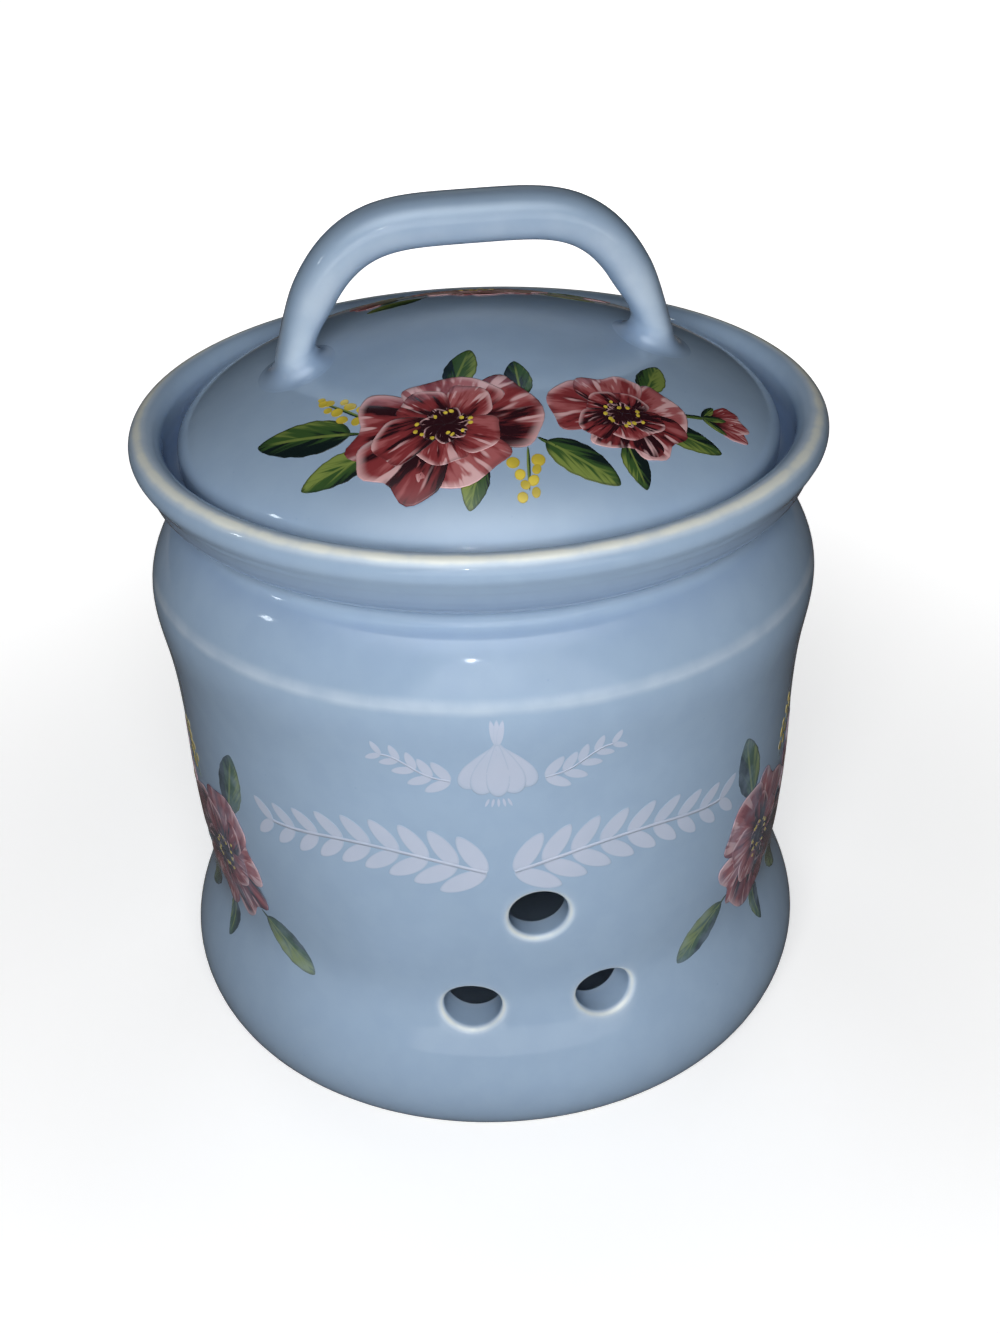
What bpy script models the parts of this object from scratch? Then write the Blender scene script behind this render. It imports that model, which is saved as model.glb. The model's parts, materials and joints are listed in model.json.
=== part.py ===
"""Garlic keeper: a vented stoneware pot with a rolled rim, and a domed lid with an arched handle.

Metres, +Z up. The origin is on the pot's axis at the table, the vents face -Y,
and the handle's arch spans X.
"""

import math

import bmesh
import bpy
from mathutils import Vector

MM = 0.001

# Pot, outside
pot_height = 127.5 * MM
rim_radius = 65.0 * MM
rim_roll_radius = 3.0 * MM
rim_height = 15.0 * MM
neck_drop = 14.5 * MM
shoulder_radius = 63.6 * MM
waist_radius = 58.2 * MM
waist_height = 31.0 * MM
base_radius = 63.1 * MM
base_height = 14.5 * MM
foot_radius = 56.0 * MM

# Pot, outside: where its curves pass between those points, as shares of the way across and up
foot_curve_shares = ((0.55, 0.26), (0.91, 0.62))
waist_curve_shares = ((0.37, 0.45),)
side_curve_shares = ((0.12, 0.14), (0.40, 0.40), (0.81, 0.83))
neck_curve_shares = ((0.33, 0.52), (0.78, 0.87))
rim_roll_start_share = 0.35

# Pot, walls and floor
wall = 4.6 * MM
flange_wall = 4.0 * MM
floor_thickness = 5.0 * MM
floor_corner_radius = 6.0 * MM
foot_ring_width = 5.0 * MM
foot_recess = 1.6 * MM

# Gallery: the step inside the rim on which the lid rests
gallery_depth = 8.9 * MM
ledge_width = 8.2 * MM
gallery_corner_radius = 3.0 * MM
gallery_edge_radius = 1.2 * MM

# Vents
vent_radius = 5.4 * MM
vent_edge_radius = 0.9 * MM
vent_upper_height = 52.6 * MM
vent_lower_height = 30.8 * MM
vent_lower_angle = math.radians(12.5)

# Lid
lid_clearance = 2.8 * MM
lid_edge_radius = 2.1 * MM
lid_seat_gap = 0.3 * MM
lid_shell = 4.2 * MM
dome_rise = 20.8 * MM
dome_nose_share = 0.25
dome_edge_power = 0.55
skirt_depth = 9.5 * MM
skirt_thickness = 3.4 * MM
skirt_clearance = 1.1 * MM
skirt_edge_radius = 1.1 * MM

# Handle
handle_half_span = 35.8 * MM
handle_thickness = 9.0 * MM
handle_width = 12.0 * MM
finger_clearance = 14.6 * MM
handle_root_depth = 9.0 * MM
handle_side_power = 0.49
handle_rise_power = 1.54
handle_leg_share = 0.87
handle_foot_flare = 1.5 * MM
handle_foot_flare_reach = 2.6 * MM
handle_joint_gap = 0.3 * MM

# Cutters run this far past what they cut
overrun = 4.0 * MM

# Facets
turn_steps = 60
vent_steps = 24
handle_steps = 36
handle_section_steps = 20
merge_distance = 0.00001

GLAZE_BLUE = (0.36, 0.49, 0.74, 1.0)

# Heights and radii that follow from the sizes above
neck_height = pot_height - rim_height
shoulder_height = neck_height - neck_drop
ledge_height = pot_height - gallery_depth
gallery_radius = rim_radius - 2 * rim_roll_radius
throat_radius = gallery_radius - ledge_width
neck_radius = throat_radius + wall
floor_height = foot_recess + floor_thickness
lid_radius = gallery_radius - lid_clearance
lid_seat_height = ledge_height + lid_seat_gap
lid_edge_height = lid_seat_height + 2 * lid_edge_radius
dome_top_height = lid_edge_height + dome_rise
skirt_radius = throat_radius - skirt_clearance
skirt_bottom_height = lid_seat_height - skirt_depth
handle_top_height = dome_top_height + finger_clearance + handle_thickness / 2


def mix(start, end, share):
    """The value that lies this share of the way from start to end."""
    return start + (end - start) * share


def arc(centre, radius, start_degrees, end_degrees, steps):
    """Points (radius, height) along an arc of a turned profile, both ends included."""
    points = []
    for i in range(steps + 1):
        angle = math.radians(mix(start_degrees, end_degrees, i / steps))
        points.append((centre[0] + radius * math.cos(angle), centre[1] + radius * math.sin(angle)))
    return points


def smooth_line(points, steps):
    """A centripetal Catmull-Rom curve through the points, with this many steps between neighbours."""
    points = [Vector(p) for p in points]
    padded = [2 * points[0] - points[1], *points, 2 * points[-1] - points[-2]]
    line = []
    for a, b, c, d in zip(padded, padded[1:], padded[2:], padded[3:]):
        ta = 0.0
        tb = ta + math.sqrt((b - a).length)
        tc = tb + math.sqrt((c - b).length)
        td = tc + math.sqrt((d - c).length)
        for i in range(steps):
            t = mix(tb, tc, i / steps)
            ab = a.lerp(b, (t - ta) / (tb - ta))
            bc = b.lerp(c, (t - tb) / (tc - tb))
            cd = c.lerp(d, (t - tc) / (td - tc))
            abc = ab.lerp(bc, (t - ta) / (tc - ta))
            bcd = bc.lerp(cd, (t - tb) / (td - tb))
            line.append(tuple(abc.lerp(bcd, (t - tb) / (tc - tb))))
    line.append(tuple(points[-1]))
    return line


def moved_sideways(points, distance):
    """The line moved this far to its left, as it runs, in the plane of the profile."""
    moved = []
    for i, (x, z) in enumerate(points):
        before = points[max(i - 1, 0)]
        after = points[min(i + 1, len(points) - 1)]
        along = Vector((after[0] - before[0], after[1] - before[1])).normalized()
        moved.append((x - along.y * distance, z + along.x * distance))
    return moved


def radius_at(points, height):
    """The radius of a rising outline at this height."""
    for (r0, z0), (r1, z1) in zip(points, points[1:]):
        if z0 <= height <= z1:
            return mix(r0, r1, (height - z0) / (z1 - z0))
    return points[-1][0]


def between(start, end, shares):
    """Points that lie these shares of the way across and up from start to end."""
    return [(mix(start[0], end[0], across), mix(start[1], end[1], up)) for across, up in shares]


def pot_outline():
    """The pot's outside from the foot to the roll of the rim, as points (radius, height) that rise."""
    foot = (foot_radius, 0.0)
    base = (base_radius, base_height)
    waist = (waist_radius, waist_height)
    shoulder = (shoulder_radius, shoulder_height)
    neck = (neck_radius, neck_height)
    roll_start_height = pot_height - (1 + rim_roll_start_share) * rim_roll_radius
    points = [
        foot,
        *between(foot, base, foot_curve_shares),
        base,
        *between(base, waist, waist_curve_shares),
        waist,
        *between(waist, shoulder, side_curve_shares),
        shoulder,
        *between(shoulder, neck, neck_curve_shares),
        neck,
        *arc(gallery_corner(), gallery_corner_radius + flange_wall, -70.0, -10.0, 2),
        (rim_radius - rim_roll_start_share**2 / 2 * rim_roll_radius, roll_start_height),
    ]
    return smooth_line(points, 2)


def gallery_corner():
    """The centre of the round corner where the gallery's wall meets its ledge."""
    return (gallery_radius - gallery_corner_radius, ledge_height + gallery_corner_radius)


def dome_height(radius):
    """The height of the lid's outside at this radius: a blunt cone that rounds over at its edge."""
    share = min(radius / lid_radius, 1.0)
    fall = math.hypot(share, dome_nose_share) - dome_nose_share
    whole_fall = math.hypot(1.0, dome_nose_share) - dome_nose_share
    return lid_edge_height + dome_rise * max(1 - fall / whole_fall, 0.0) ** dome_edge_power


def dome_line(steps, inset=0.0):
    """The lid's dome from its top to its edge, moved this far inwards."""
    points = []
    for i in range(steps + 1):
        angle = math.pi / 2 * i / steps
        radius = lid_radius * math.sin(angle)
        points.append((radius, dome_height(radius)))
    if not inset:
        return points
    moved = moved_sideways(points, -inset)
    return [(0.0, points[0][1] - inset), *moved[1:]]


def new_material(name, colour, roughness):
    """A glazed finish."""
    material = bpy.data.materials.new(name)
    material.use_nodes = True
    shader = material.node_tree.nodes["Principled BSDF"]
    shader.inputs["Base Color"].default_value = colour
    shader.inputs["Roughness"].default_value = roughness
    shader.inputs["Metallic"].default_value = 0.0
    return material


def add_object(name, mesh, collection):
    """An object for this mesh, linked to the collection."""
    created = bpy.data.objects.new(name, mesh)
    collection.objects.link(created)
    return created


def turned(name, profile, steps, collection):
    """A solid of revolution about Z from a profile that runs down its outer side."""
    mesh = bpy.data.meshes.new(name)
    corners = [(r, 0.0, z) for r, z in profile]
    mesh.from_pydata(corners, [(i, i + 1) for i in range(len(corners) - 1)], [])
    created = add_object(name, mesh, collection)
    screw = created.modifiers.new("Turn", "SCREW")
    screw.axis = "Z"
    screw.angle = 2 * math.pi
    screw.steps = steps
    screw.render_steps = steps
    screw.use_merge_vertices = True
    screw.merge_threshold = merge_distance
    screw.use_smooth_shade = True
    return created


def as_helper(created):
    """Marks a cutter, which is no part of the object."""
    created.hide_render = True
    created.display_type = "WIRE"


def cut(target, cutter):
    """Takes the cutter's shape out of the target."""
    boolean = target.modifiers.new("Cut " + cutter.name, "BOOLEAN")
    boolean.operation = "DIFFERENCE"
    boolean.object = cutter
    as_helper(cutter)


def vent_cutter(name, height, angle, outline, collection):
    """A bore through the wall, rounded where it meets the outside of the pot."""
    surface = radius_at(outline, height)
    depth = surface - vent_edge_radius
    flare = arc((vent_radius + vent_edge_radius, depth), vent_edge_radius, 90.0, 180.0, 4)
    profile = [
        (0.0, surface + overrun),
        (vent_radius + vent_edge_radius, surface + overrun),
        *flare,
        (vent_radius, surface - wall - overrun),
        (0.0, surface - wall - overrun),
    ]
    cutter = turned(name, profile, vent_steps, collection)
    cutter.location = (0.0, 0.0, height)
    cutter.rotation_euler = (math.pi / 2, 0.0, angle)
    return cutter


def make_pot(collection, cutters):
    """The pot: floor, wall, gallery, rolled rim and foot ring in one turned profile, then the vents."""
    outside = pot_outline()
    inside = moved_sideways(outside, wall)
    floor_corner = (base_radius - wall - floor_corner_radius, floor_height + floor_corner_radius)
    inside_side = [p for p in inside if floor_corner[1] < p[1] < neck_height - wall / 2]
    ledge_edge = (throat_radius + gallery_edge_radius, ledge_height - gallery_edge_radius)
    roll = (rim_radius - rim_roll_radius, pot_height - rim_roll_radius)
    foot_inner_radius = foot_radius - foot_ring_width
    profile = [
        (0.0, floor_height),
        *arc(floor_corner, floor_corner_radius, -90.0, 0.0, 4),
        *inside_side,
        (throat_radius, neck_height),
        *arc(ledge_edge, gallery_edge_radius, 180.0, 90.0, 3),
        *arc(gallery_corner(), gallery_corner_radius, -90.0, 0.0, 4),
        *arc(roll, rim_roll_radius, 180.0, 0.0, 8),
        *reversed(outside),
        (foot_inner_radius, 0.0),
        (foot_inner_radius - foot_recess, foot_recess),
        (0.0, foot_recess),
    ]
    pot = turned("pot_body", profile, turn_steps, collection)
    places = [
        ("upper", vent_upper_height, 0.0),
        ("lower_left", vent_lower_height, -vent_lower_angle),
        ("lower_right", vent_lower_height, vent_lower_angle),
    ]
    for place, height, angle in places:
        cut(pot, vent_cutter(f"vent_cutter_{place}", height, angle, outside, cutters))
    return pot


def make_lid(collection):
    """The lid: a hollow dome with a rounded edge, a flat seat and a skirt that drops into the neck."""
    edge = (lid_radius - lid_edge_radius, lid_seat_height + lid_edge_radius)
    skirt_inner_radius = skirt_radius - skirt_thickness
    skirt_foot = (skirt_radius - skirt_edge_radius, skirt_bottom_height + skirt_edge_radius)
    skirt_heel = (skirt_inner_radius + skirt_edge_radius, skirt_bottom_height + skirt_edge_radius)
    under = [p for p in dome_line(12, lid_shell) if p[0] < skirt_inner_radius - skirt_edge_radius]
    profile = [
        *dome_line(16),
        *arc(edge, lid_edge_radius, 0.0, -90.0, 4),
        (skirt_radius, lid_seat_height),
        *arc(skirt_foot, skirt_edge_radius, 0.0, -90.0, 3),
        *arc(skirt_heel, skirt_edge_radius, -90.0, -180.0, 3),
        (skirt_inner_radius, dome_height(skirt_inner_radius) - lid_shell - skirt_edge_radius),
        *reversed(under),
    ]
    return turned("lid_dome", profile, turn_steps, collection)


def handle_line():
    """The middle of the handle's strap, from one foot inside the dome to the other."""
    root_height = dome_height(handle_half_span) - handle_root_depth
    points = []
    for i in range(handle_steps + 1):
        angle = math.pi * i / handle_steps
        x = math.copysign(abs(math.cos(angle)) ** handle_side_power, math.cos(angle))
        z = mix(root_height, handle_top_height, abs(math.sin(angle)) ** handle_rise_power)
        points.append((handle_half_span * x, 0.0, z))
    return points


def handle_scale(point):
    """How thick the strap is here, as a share of its thickness at the top."""
    foot_height = dome_height(handle_half_span)
    rise_share = max(point[2] - foot_height, 0.0) / (handle_top_height - foot_height)
    above_dome = max(point[2] - dome_height(abs(point[0])), 0.0)
    flare = 2 * handle_foot_flare / handle_thickness * math.exp(-above_dome / handle_foot_flare_reach)
    return mix(handle_leg_share, 1.0, rise_share**2) + flare


def strap_section(collection):
    """The oval section that is swept along the handle's line."""
    curve = bpy.data.curves.new("handle_section", "CURVE")
    curve.dimensions = "2D"
    spline = curve.splines.new("POLY")
    spline.points.add(handle_section_steps - 1)
    for i, point in enumerate(spline.points):
        angle = 2 * math.pi * i / handle_section_steps
        x = handle_width / 2 * math.cos(angle)
        y = handle_thickness / 2 * math.sin(angle)
        point.co = (x, y, 0.0, 1.0)
    spline.use_cyclic_u = True
    return add_object("handle_section", curve, collection)


def closed_mesh_of(created, name, collection):
    """A welded mesh object in place of a curve object, which is removed."""
    bpy.context.view_layer.update()
    graph = bpy.context.evaluated_depsgraph_get()
    mesh = bpy.data.meshes.new_from_object(created.evaluated_get(graph))
    work = bmesh.new()
    work.from_mesh(mesh)
    bmesh.ops.remove_doubles(work, verts=work.verts, dist=merge_distance)
    bmesh.ops.recalc_face_normals(work, faces=work.faces)
    work.to_mesh(mesh)
    work.free()
    mesh.shade_smooth()
    meshed = add_object(name, mesh, collection)
    meshed.matrix_world = created.matrix_world.copy()
    bpy.data.objects.remove(created)
    return meshed


def make_handle(collection, cutters):
    """The handle: an oval strap swept along its arch, with its feet cut to sit on the dome."""
    curve = bpy.data.curves.new("handle_sweep", "CURVE")
    curve.dimensions = "3D"
    curve.twist_mode = "Z_UP"
    curve.bevel_mode = "OBJECT"
    curve.bevel_object = strap_section(cutters)
    curve.use_fill_caps = True
    line = handle_line()
    spline = curve.splines.new("POLY")
    spline.points.add(len(line) - 1)
    for point, place in zip(spline.points, line):
        point.co = (*place, 1.0)
        point.radius = handle_scale(place)
    sweep = add_object("handle_sweep", curve, collection)
    handle = closed_mesh_of(sweep, "lid_handle", collection)
    as_helper(bpy.data.objects["handle_section"])
    seat = [(r, z + handle_joint_gap) for r, z in dome_line(16)]
    bottom = lid_seat_height - overrun
    cutter = turned("dome_cutter", [*seat, (lid_radius, bottom), (0.0, bottom)], turn_steps, cutters)
    cut(handle, cutter)
    return handle


def main():
    """Clears the scene and builds the keeper, with the lid's pieces under one empty."""
    for old in list(bpy.data.objects):
        bpy.data.objects.remove(old)
    keeper = bpy.data.collections.new("garlic_keeper")
    cutters = bpy.data.collections.new("cutters")
    for collection in (keeper, cutters):
        bpy.context.scene.collection.children.link(collection)
    pot = make_pot(keeper, cutters)
    lid = make_lid(keeper)
    handle = make_handle(keeper, cutters)
    finishes = {
        pot: new_material("pot_glaze", GLAZE_BLUE, 0.12),
        lid: new_material("lid_glaze", GLAZE_BLUE, 0.1),
        handle: new_material("handle_glaze", GLAZE_BLUE, 0.1),
    }
    for created, material in finishes.items():
        created.data.materials.append(material)
    lift = add_object("lid_lift", None, keeper)
    for created in (lid, handle):
        created.parent = lift


main()
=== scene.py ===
"""Dresses the garlic keeper: turned pot and lid, strap handle, fired-on decals, stage and camera.

Metres, +Z up, in the frame of the packed model: the origin is on the pot's axis at the table,
and the vents face -Y. Every piece is made in place, so its object stays at the origin.
"""

import json
import math
import random

import bmesh
import bpy
import numpy as np
from bpy.props import FloatProperty, FloatVectorProperty, IntProperty, PointerProperty
from mathutils import Matrix, Vector

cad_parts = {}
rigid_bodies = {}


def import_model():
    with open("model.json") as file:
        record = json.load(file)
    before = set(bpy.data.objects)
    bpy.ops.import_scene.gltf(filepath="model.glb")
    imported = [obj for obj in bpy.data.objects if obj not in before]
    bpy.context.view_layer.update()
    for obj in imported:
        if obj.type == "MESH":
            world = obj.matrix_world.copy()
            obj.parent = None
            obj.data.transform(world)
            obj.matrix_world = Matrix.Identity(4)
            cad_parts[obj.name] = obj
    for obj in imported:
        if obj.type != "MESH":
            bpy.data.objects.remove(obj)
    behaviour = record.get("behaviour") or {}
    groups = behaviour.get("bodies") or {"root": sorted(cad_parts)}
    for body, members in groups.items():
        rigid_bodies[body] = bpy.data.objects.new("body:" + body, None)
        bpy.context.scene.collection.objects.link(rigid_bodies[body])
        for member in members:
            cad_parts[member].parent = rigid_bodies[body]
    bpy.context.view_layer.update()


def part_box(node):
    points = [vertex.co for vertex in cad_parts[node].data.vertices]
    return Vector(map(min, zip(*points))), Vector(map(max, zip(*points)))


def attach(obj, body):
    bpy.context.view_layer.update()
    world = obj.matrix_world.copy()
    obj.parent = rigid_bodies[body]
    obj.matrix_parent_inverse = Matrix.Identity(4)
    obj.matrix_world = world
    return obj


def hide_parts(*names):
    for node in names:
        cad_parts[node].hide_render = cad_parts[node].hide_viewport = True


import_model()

bl_info = {
    "name": "Garlic Keeper",
    "version": (1, 0, 0),
    "blender": (4, 5, 0),
    "location": "View3D > Sidebar > Keeper",
    "description": "Makes a glazed stoneware garlic keeper with a domed lid and fired-on decals",
    "category": "Object",
}

MM = 0.001
GLAZE = "fired_blue_glaze"
POT_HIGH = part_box("pot_body")[1]
HANDLE_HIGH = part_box("lid_handle")[1]


# Properties


def length(name, description, default):
    """A size in metres that the sidebar shows as a distance."""
    return FloatProperty(
        name=name, description=description, default=default, min=0.0, precision=5, unit="LENGTH"
    )


def number(name, description, default):
    """A plain number that is never below zero."""
    return FloatProperty(name=name, description=description, default=default, min=0.0)


def turn(name, description, degrees):
    """An angle, given in degrees."""
    return FloatProperty(
        name=name, description=description, default=math.radians(degrees), subtype="ANGLE"
    )


def colour(name, description, default):
    """A linear colour."""
    return FloatVectorProperty(
        name=name, description=description, default=default, size=3, min=0.0, max=1.0, subtype="COLOR"
    )


class PotSizes(bpy.types.PropertyGroup):
    """Sizes of the turned pot."""

    height: length("Height", "Table to the top of the rim", POT_HIGH.z)
    rim_radius: length("Rim radius", "Axis to the outside of the rim", POT_HIGH.x)
    roll_radius: length("Roll radius", "Radius of the rolled rim", 3.0 * MM)
    rim_height: length("Rim height", "Narrowest point of the neck to the top of the rim", 16.2 * MM)
    neck_drop: length("Neck drop", "Shoulder to the narrowest point of the neck", 13.3 * MM)
    shoulder_radius: length("Shoulder radius", "Axis to the shoulder", 63.6 * MM)
    waist_radius: length("Waist radius", "Axis to the waist", 58.2 * MM)
    waist_height: length("Waist height", "Table to the waist", 31.0 * MM)
    base_radius: length("Base radius", "Axis to the widest point of the base", 63.1 * MM)
    base_height: length("Base height", "Table to the widest point of the base", 14.5 * MM)
    foot_radius: length("Foot radius", "Axis to the outside of the foot ring", 56.0 * MM)
    wall: length("Wall", "Thickness of the side", 4.6 * MM)
    flange_wall: length("Flange wall", "Thickness of the wall below the rim", 4.0 * MM)
    floor_thickness: length("Floor", "Thickness of the floor", 5.0 * MM)
    floor_corner: length("Floor corner", "Radius of the corner inside", 6.0 * MM)
    foot_ring: length("Foot ring", "Width of the ring that stands on the table", 5.0 * MM)
    foot_recess: length("Foot recess", "How far the base is hollowed", 1.6 * MM)
    gallery_depth: length("Gallery depth", "Top of the rim to the ledge", 8.9 * MM)
    ledge_width: length("Ledge width", "Width of the ledge under the lid", 8.2 * MM)
    gallery_corner: length("Gallery corner", "Radius where the ledge meets the rim", 3.0 * MM)
    ledge_edge: length("Ledge edge", "Radius of the ledge's inner edge", 1.2 * MM)
    vent_radius: length("Vent radius", "Radius of a vent's bore", 5.4 * MM)
    vent_lip: length("Vent lip", "Radius of the rounded edge outside", 1.5 * MM)
    vent_heel: length("Vent heel", "Radius of the rounded edge inside", 0.8 * MM)
    vent_upper_collar: length("Upper collar", "Swelling of the clay inside the upper vent", 0.9 * MM)
    vent_lower_collar: length("Lower collar", "Swelling of the clay inside a lower vent", 3.0 * MM)
    vent_upper_squash: number("Upper squash", "The upper vent's height over its width", 0.94)
    vent_lower_squash: number("Lower squash", "The lower vents' height over their width", 0.8)
    vent_upper_height: length("Upper vent", "Table to the upper vent", 52.6 * MM)
    vent_lower_height: length("Lower vents", "Table to the two lower vents", 30.8 * MM)
    vent_lower_angle: turn("Vent angle", "Front to each lower vent, about the axis", 12.5)
    columns: IntProperty(name="Columns", description="Facets round the pot", default=288, min=72)


class LidSizes(bpy.types.PropertyGroup):
    """Sizes of the domed lid."""

    clearance: length("Clearance", "Gap between the lid and the rim", 2.8 * MM)
    edge_radius: length("Edge radius", "Radius of the lid's rounded edge", 2.1 * MM)
    seat_gap: length("Seat gap", "Gap under the lid", 0.3 * MM)
    shell: length("Shell", "Thickness of the dome", 4.2 * MM)
    dome_rise: length("Dome rise", "Edge to the top of the dome", 20.8 * MM)
    nose: number("Nose", "How blunt the top of the dome is", 0.25)
    edge_power: number("Edge power", "How fast the dome falls at its edge", 0.55)
    skirt_depth: length("Skirt depth", "Seat to the bottom of the skirt", 9.5 * MM)
    skirt_thickness: length("Skirt thickness", "Thickness of the skirt", 3.4 * MM)
    skirt_clearance: length("Skirt clearance", "Gap between the skirt and the throat", 1.1 * MM)
    skirt_edge: length("Skirt edge", "Radius of the skirt's edges", 1.1 * MM)
    columns: IntProperty(name="Columns", description="Facets round the lid", default=256, min=72)


class HandleSizes(bpy.types.PropertyGroup):
    """Sizes of the strap handle."""

    half_span: length("Half span", "Axis to the middle of a leg", 35.8 * MM)
    thickness: length("Thickness", "Thickness of the strap at its top", 9.0 * MM)
    width: length("Width", "Width of the strap from front to back", 12.0 * MM)
    root_depth: length("Root depth", "How far the arch's line starts inside the dome", 9.0 * MM)
    side_power: number("Side power", "How square the arch is", 0.49)
    rise_power: number("Rise power", "How straight the legs are", 1.54)
    leg: number("Leg", "Thickness of the legs, as a share of the top's", 0.87)
    fillet: length("Fillet", "Radius of the slip where the legs join the dome", 3.4 * MM)
    squareness: number("Squareness", "Power of the strap's rounded section", 2.25)


class Finishes(bpy.types.PropertyGroup):
    """Colours of the glaze, the clay and the decals."""

    blue: colour("Blue", "The glaze over the clay", (0.355, 0.48, 0.64))
    # Deep blue also paints the shade round the neck under the rim.
    deep: colour("Deep blue", "The glaze where it gathers", (0.16, 0.25, 0.47))
    # Pale blue and cream also paint the highlight on the rim's roll and down the front of the handle's
    # legs.
    pale: colour("Pale blue", "The glaze where it begins to thin", (0.56, 0.67, 0.79))
    cream: colour("Cream", "The glaze where it thins over an edge", (0.90, 0.93, 0.86))
    clay: colour("Clay", "Unglazed stoneware", (0.72, 0.66, 0.56))
    white: colour("White", "The garland on the front", (0.54, 0.60, 0.74))
    maroon: colour("Maroon", "The heart of a petal", (0.030, 0.008, 0.012))
    red: colour("Red", "The middle of a petal", (0.255, 0.038, 0.043))
    rose: colour("Rose", "The bright side of a petal", (0.44, 0.125, 0.13))
    blush: colour("Blush", "The edge of a petal", (0.80, 0.50, 0.51))
    night: colour("Leaf shade", "The dark side of a leaf", (0.008, 0.016, 0.016))
    moss: colour("Leaf green", "The middle of a leaf", (0.045, 0.10, 0.028))
    lime: colour("Leaf light", "The bright side of a leaf", (0.23, 0.30, 0.07))
    yellow: colour("Yellow", "The berries and stamens", (0.76, 0.60, 0.07))


class StageSizes(bpy.types.PropertyGroup):
    """The camera and the lamps."""

    lens: number("Lens", "Focal length in mm", 53.14)
    ambient: number("Ambient", "Strength of the world's light", 0.055)
    key: number("Key", "Watts of the soft lamp behind the camera", 2.15)
    flash: number("Flash", "Watts of the lamp beside the lens", 0.10)
    back: number("Back", "Watts of each soft lamp behind the keeper", 2.2)
    glint: number("Glint", "Watts of the small bright lamp", 0.05)
    window: number("Window", "Brightness of the windows in the gloss", 12.0)
    glow: number("Glow", "Brightness of the wide glow in the gloss", 4.0)


# Points and lines


def mix(start, end, part):
    """The value that lies this part of the way from start to end."""
    return start + (end - start) * part


def arc(centre, radius, start, end, steps):
    """Points (radius, height) along an arc given in degrees, both ends included."""
    angles = np.radians(np.linspace(start, end, steps + 1))
    return [(centre[0] + radius * math.cos(a), centre[1] + radius * math.sin(a)) for a in angles]


CURVE_SAMPLES = 60
SPACING_SLACK = 0.2


def second_slopes(places, values, end_slope):
    """Second derivatives of the cubic that bends evenly through the values, free at its start."""
    count = len(values)
    steps = np.diff(places)
    rises = np.diff(values) / steps
    left = np.zeros((count, count))
    right = np.zeros(count)
    left[0, 0] = 1.0
    for i in range(1, count - 1):
        left[i, i - 1 : i + 2] = steps[i - 1], 2 * (steps[i - 1] + steps[i]), steps[i]
        right[i] = 6 * (rises[i] - rises[i - 1])
    left[-1, -2:] = steps[-1], 2 * steps[-1]
    right[-1] = 6 * (end_slope - rises[-1])
    return np.linalg.solve(left, right)


def even_curve(points, end_direction, spacing):
    """Points this far apart on a curve whose bending never jumps, through the given points."""
    points = np.array(points)
    places = np.concatenate([[0.0], np.cumsum(np.hypot(*np.diff(points, axis=0).T))])
    fine = np.linspace(0.0, places[-1], CURVE_SAMPLES * len(points))
    span = np.clip(np.searchsorted(places, fine) - 1, 0, len(points) - 2)
    step = places[span + 1] - places[span]
    after = (fine - places[span]) / step
    before = 1 - after
    lines = []
    for axis in range(2):
        values = points[:, axis]
        bends = second_slopes(places, values, end_direction[axis])
        straight = before * values[span] + after * values[span + 1]
        bend = (before**3 - before) * bends[span] + (after**3 - after) * bends[span + 1]
        lines.append(straight + bend * step**2 / 6)
    return evenly(np.array(lines).T, spacing)


def evenly(points, spacing):
    """The line walked again in equal steps of about this length."""
    points = np.array(points)
    places = np.concatenate([[0.0], np.cumsum(np.linalg.norm(np.diff(points, axis=0), axis=1))])
    wanted = np.linspace(0.0, places[-1], max(round(places[-1] / spacing), 1) + 1)
    return np.array([np.interp(wanted, places, axis) for axis in points.T]).T


def filled(points, spacing):
    """The points with more set between those that lie far apart."""
    dense = [points[0]]
    for start, end in zip(points, points[1:]):
        parts = max(math.ceil(math.dist(start, end) / spacing - SPACING_SLACK), 1)
        for step in range(1, parts + 1):
            dense += between(start, end, ((step / parts, step / parts),))
    return dense


def shifted(points, distance):
    """The line moved this far to its left, as it runs."""
    along = np.gradient(np.array(points), axis=0)
    along /= np.linalg.norm(along, axis=1)[:, None]
    return np.array(points) + distance * np.stack([-along[:, 1], along[:, 0]], axis=1)


def bell(value, centre, width):
    """1 at the centre, falling to nothing some widths away."""
    return np.exp(-(((value - centre) / width) ** 2))


def eased(part):
    """1 at the start, falling softly to 0 at the end."""
    return (1 - part) ** 2 * (1 + 2 * part)


def rounded(value, power):
    """The value raised to a power, with its sign kept."""
    return np.sign(value) * np.abs(value) ** power


# Outlines

ROW_SPACING = 1.3 * MM
FOOT_CURVE_SHARES = ((0.55, 0.26), (0.91, 0.62))
WAIST_CURVE_SHARES = ((0.37, 0.45),)
SIDE_CURVE_SHARES = ((0.12, 0.14), (0.40, 0.40), (0.81, 0.83))
NECK_CURVE_SHARES = ((0.33, 0.52), (0.78, 0.87))
FLANGE_TURN = (-35.0, -10.0)
ROLL_START = 0.35
CORNER_STEPS, LEDGE_STEPS, ROLL_STEPS = 8, 5, 24
WALL_JOIN = 1.0 * MM
FOOT_EDGE_OUTSIDE, FOOT_EDGE_INSIDE, FOOT_EDGE_RISE = 0.5 * MM, 0.4 * MM, 0.25 * MM

DOME_SPACING = 2.0 * MM
DOME_POINTS, DOME_RIM_POINTS = 73, 12
UNDER_END, UNDER_CORNER = 3, 2.4
UNDER_CORNER_START = 75.0
UNDER_DROP = 0.5 * MM
SKIRT_STEPS, LID_EDGE_STEPS = 6, 12
SEAT_CHAMFER = 0.6 * MM


def gallery(pot):
    """Ledge height, gallery radius and throat radius of the pot."""
    gallery_radius = pot.rim_radius - 2 * pot.roll_radius
    return pot.height - pot.gallery_depth, gallery_radius, gallery_radius - pot.ledge_width


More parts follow.
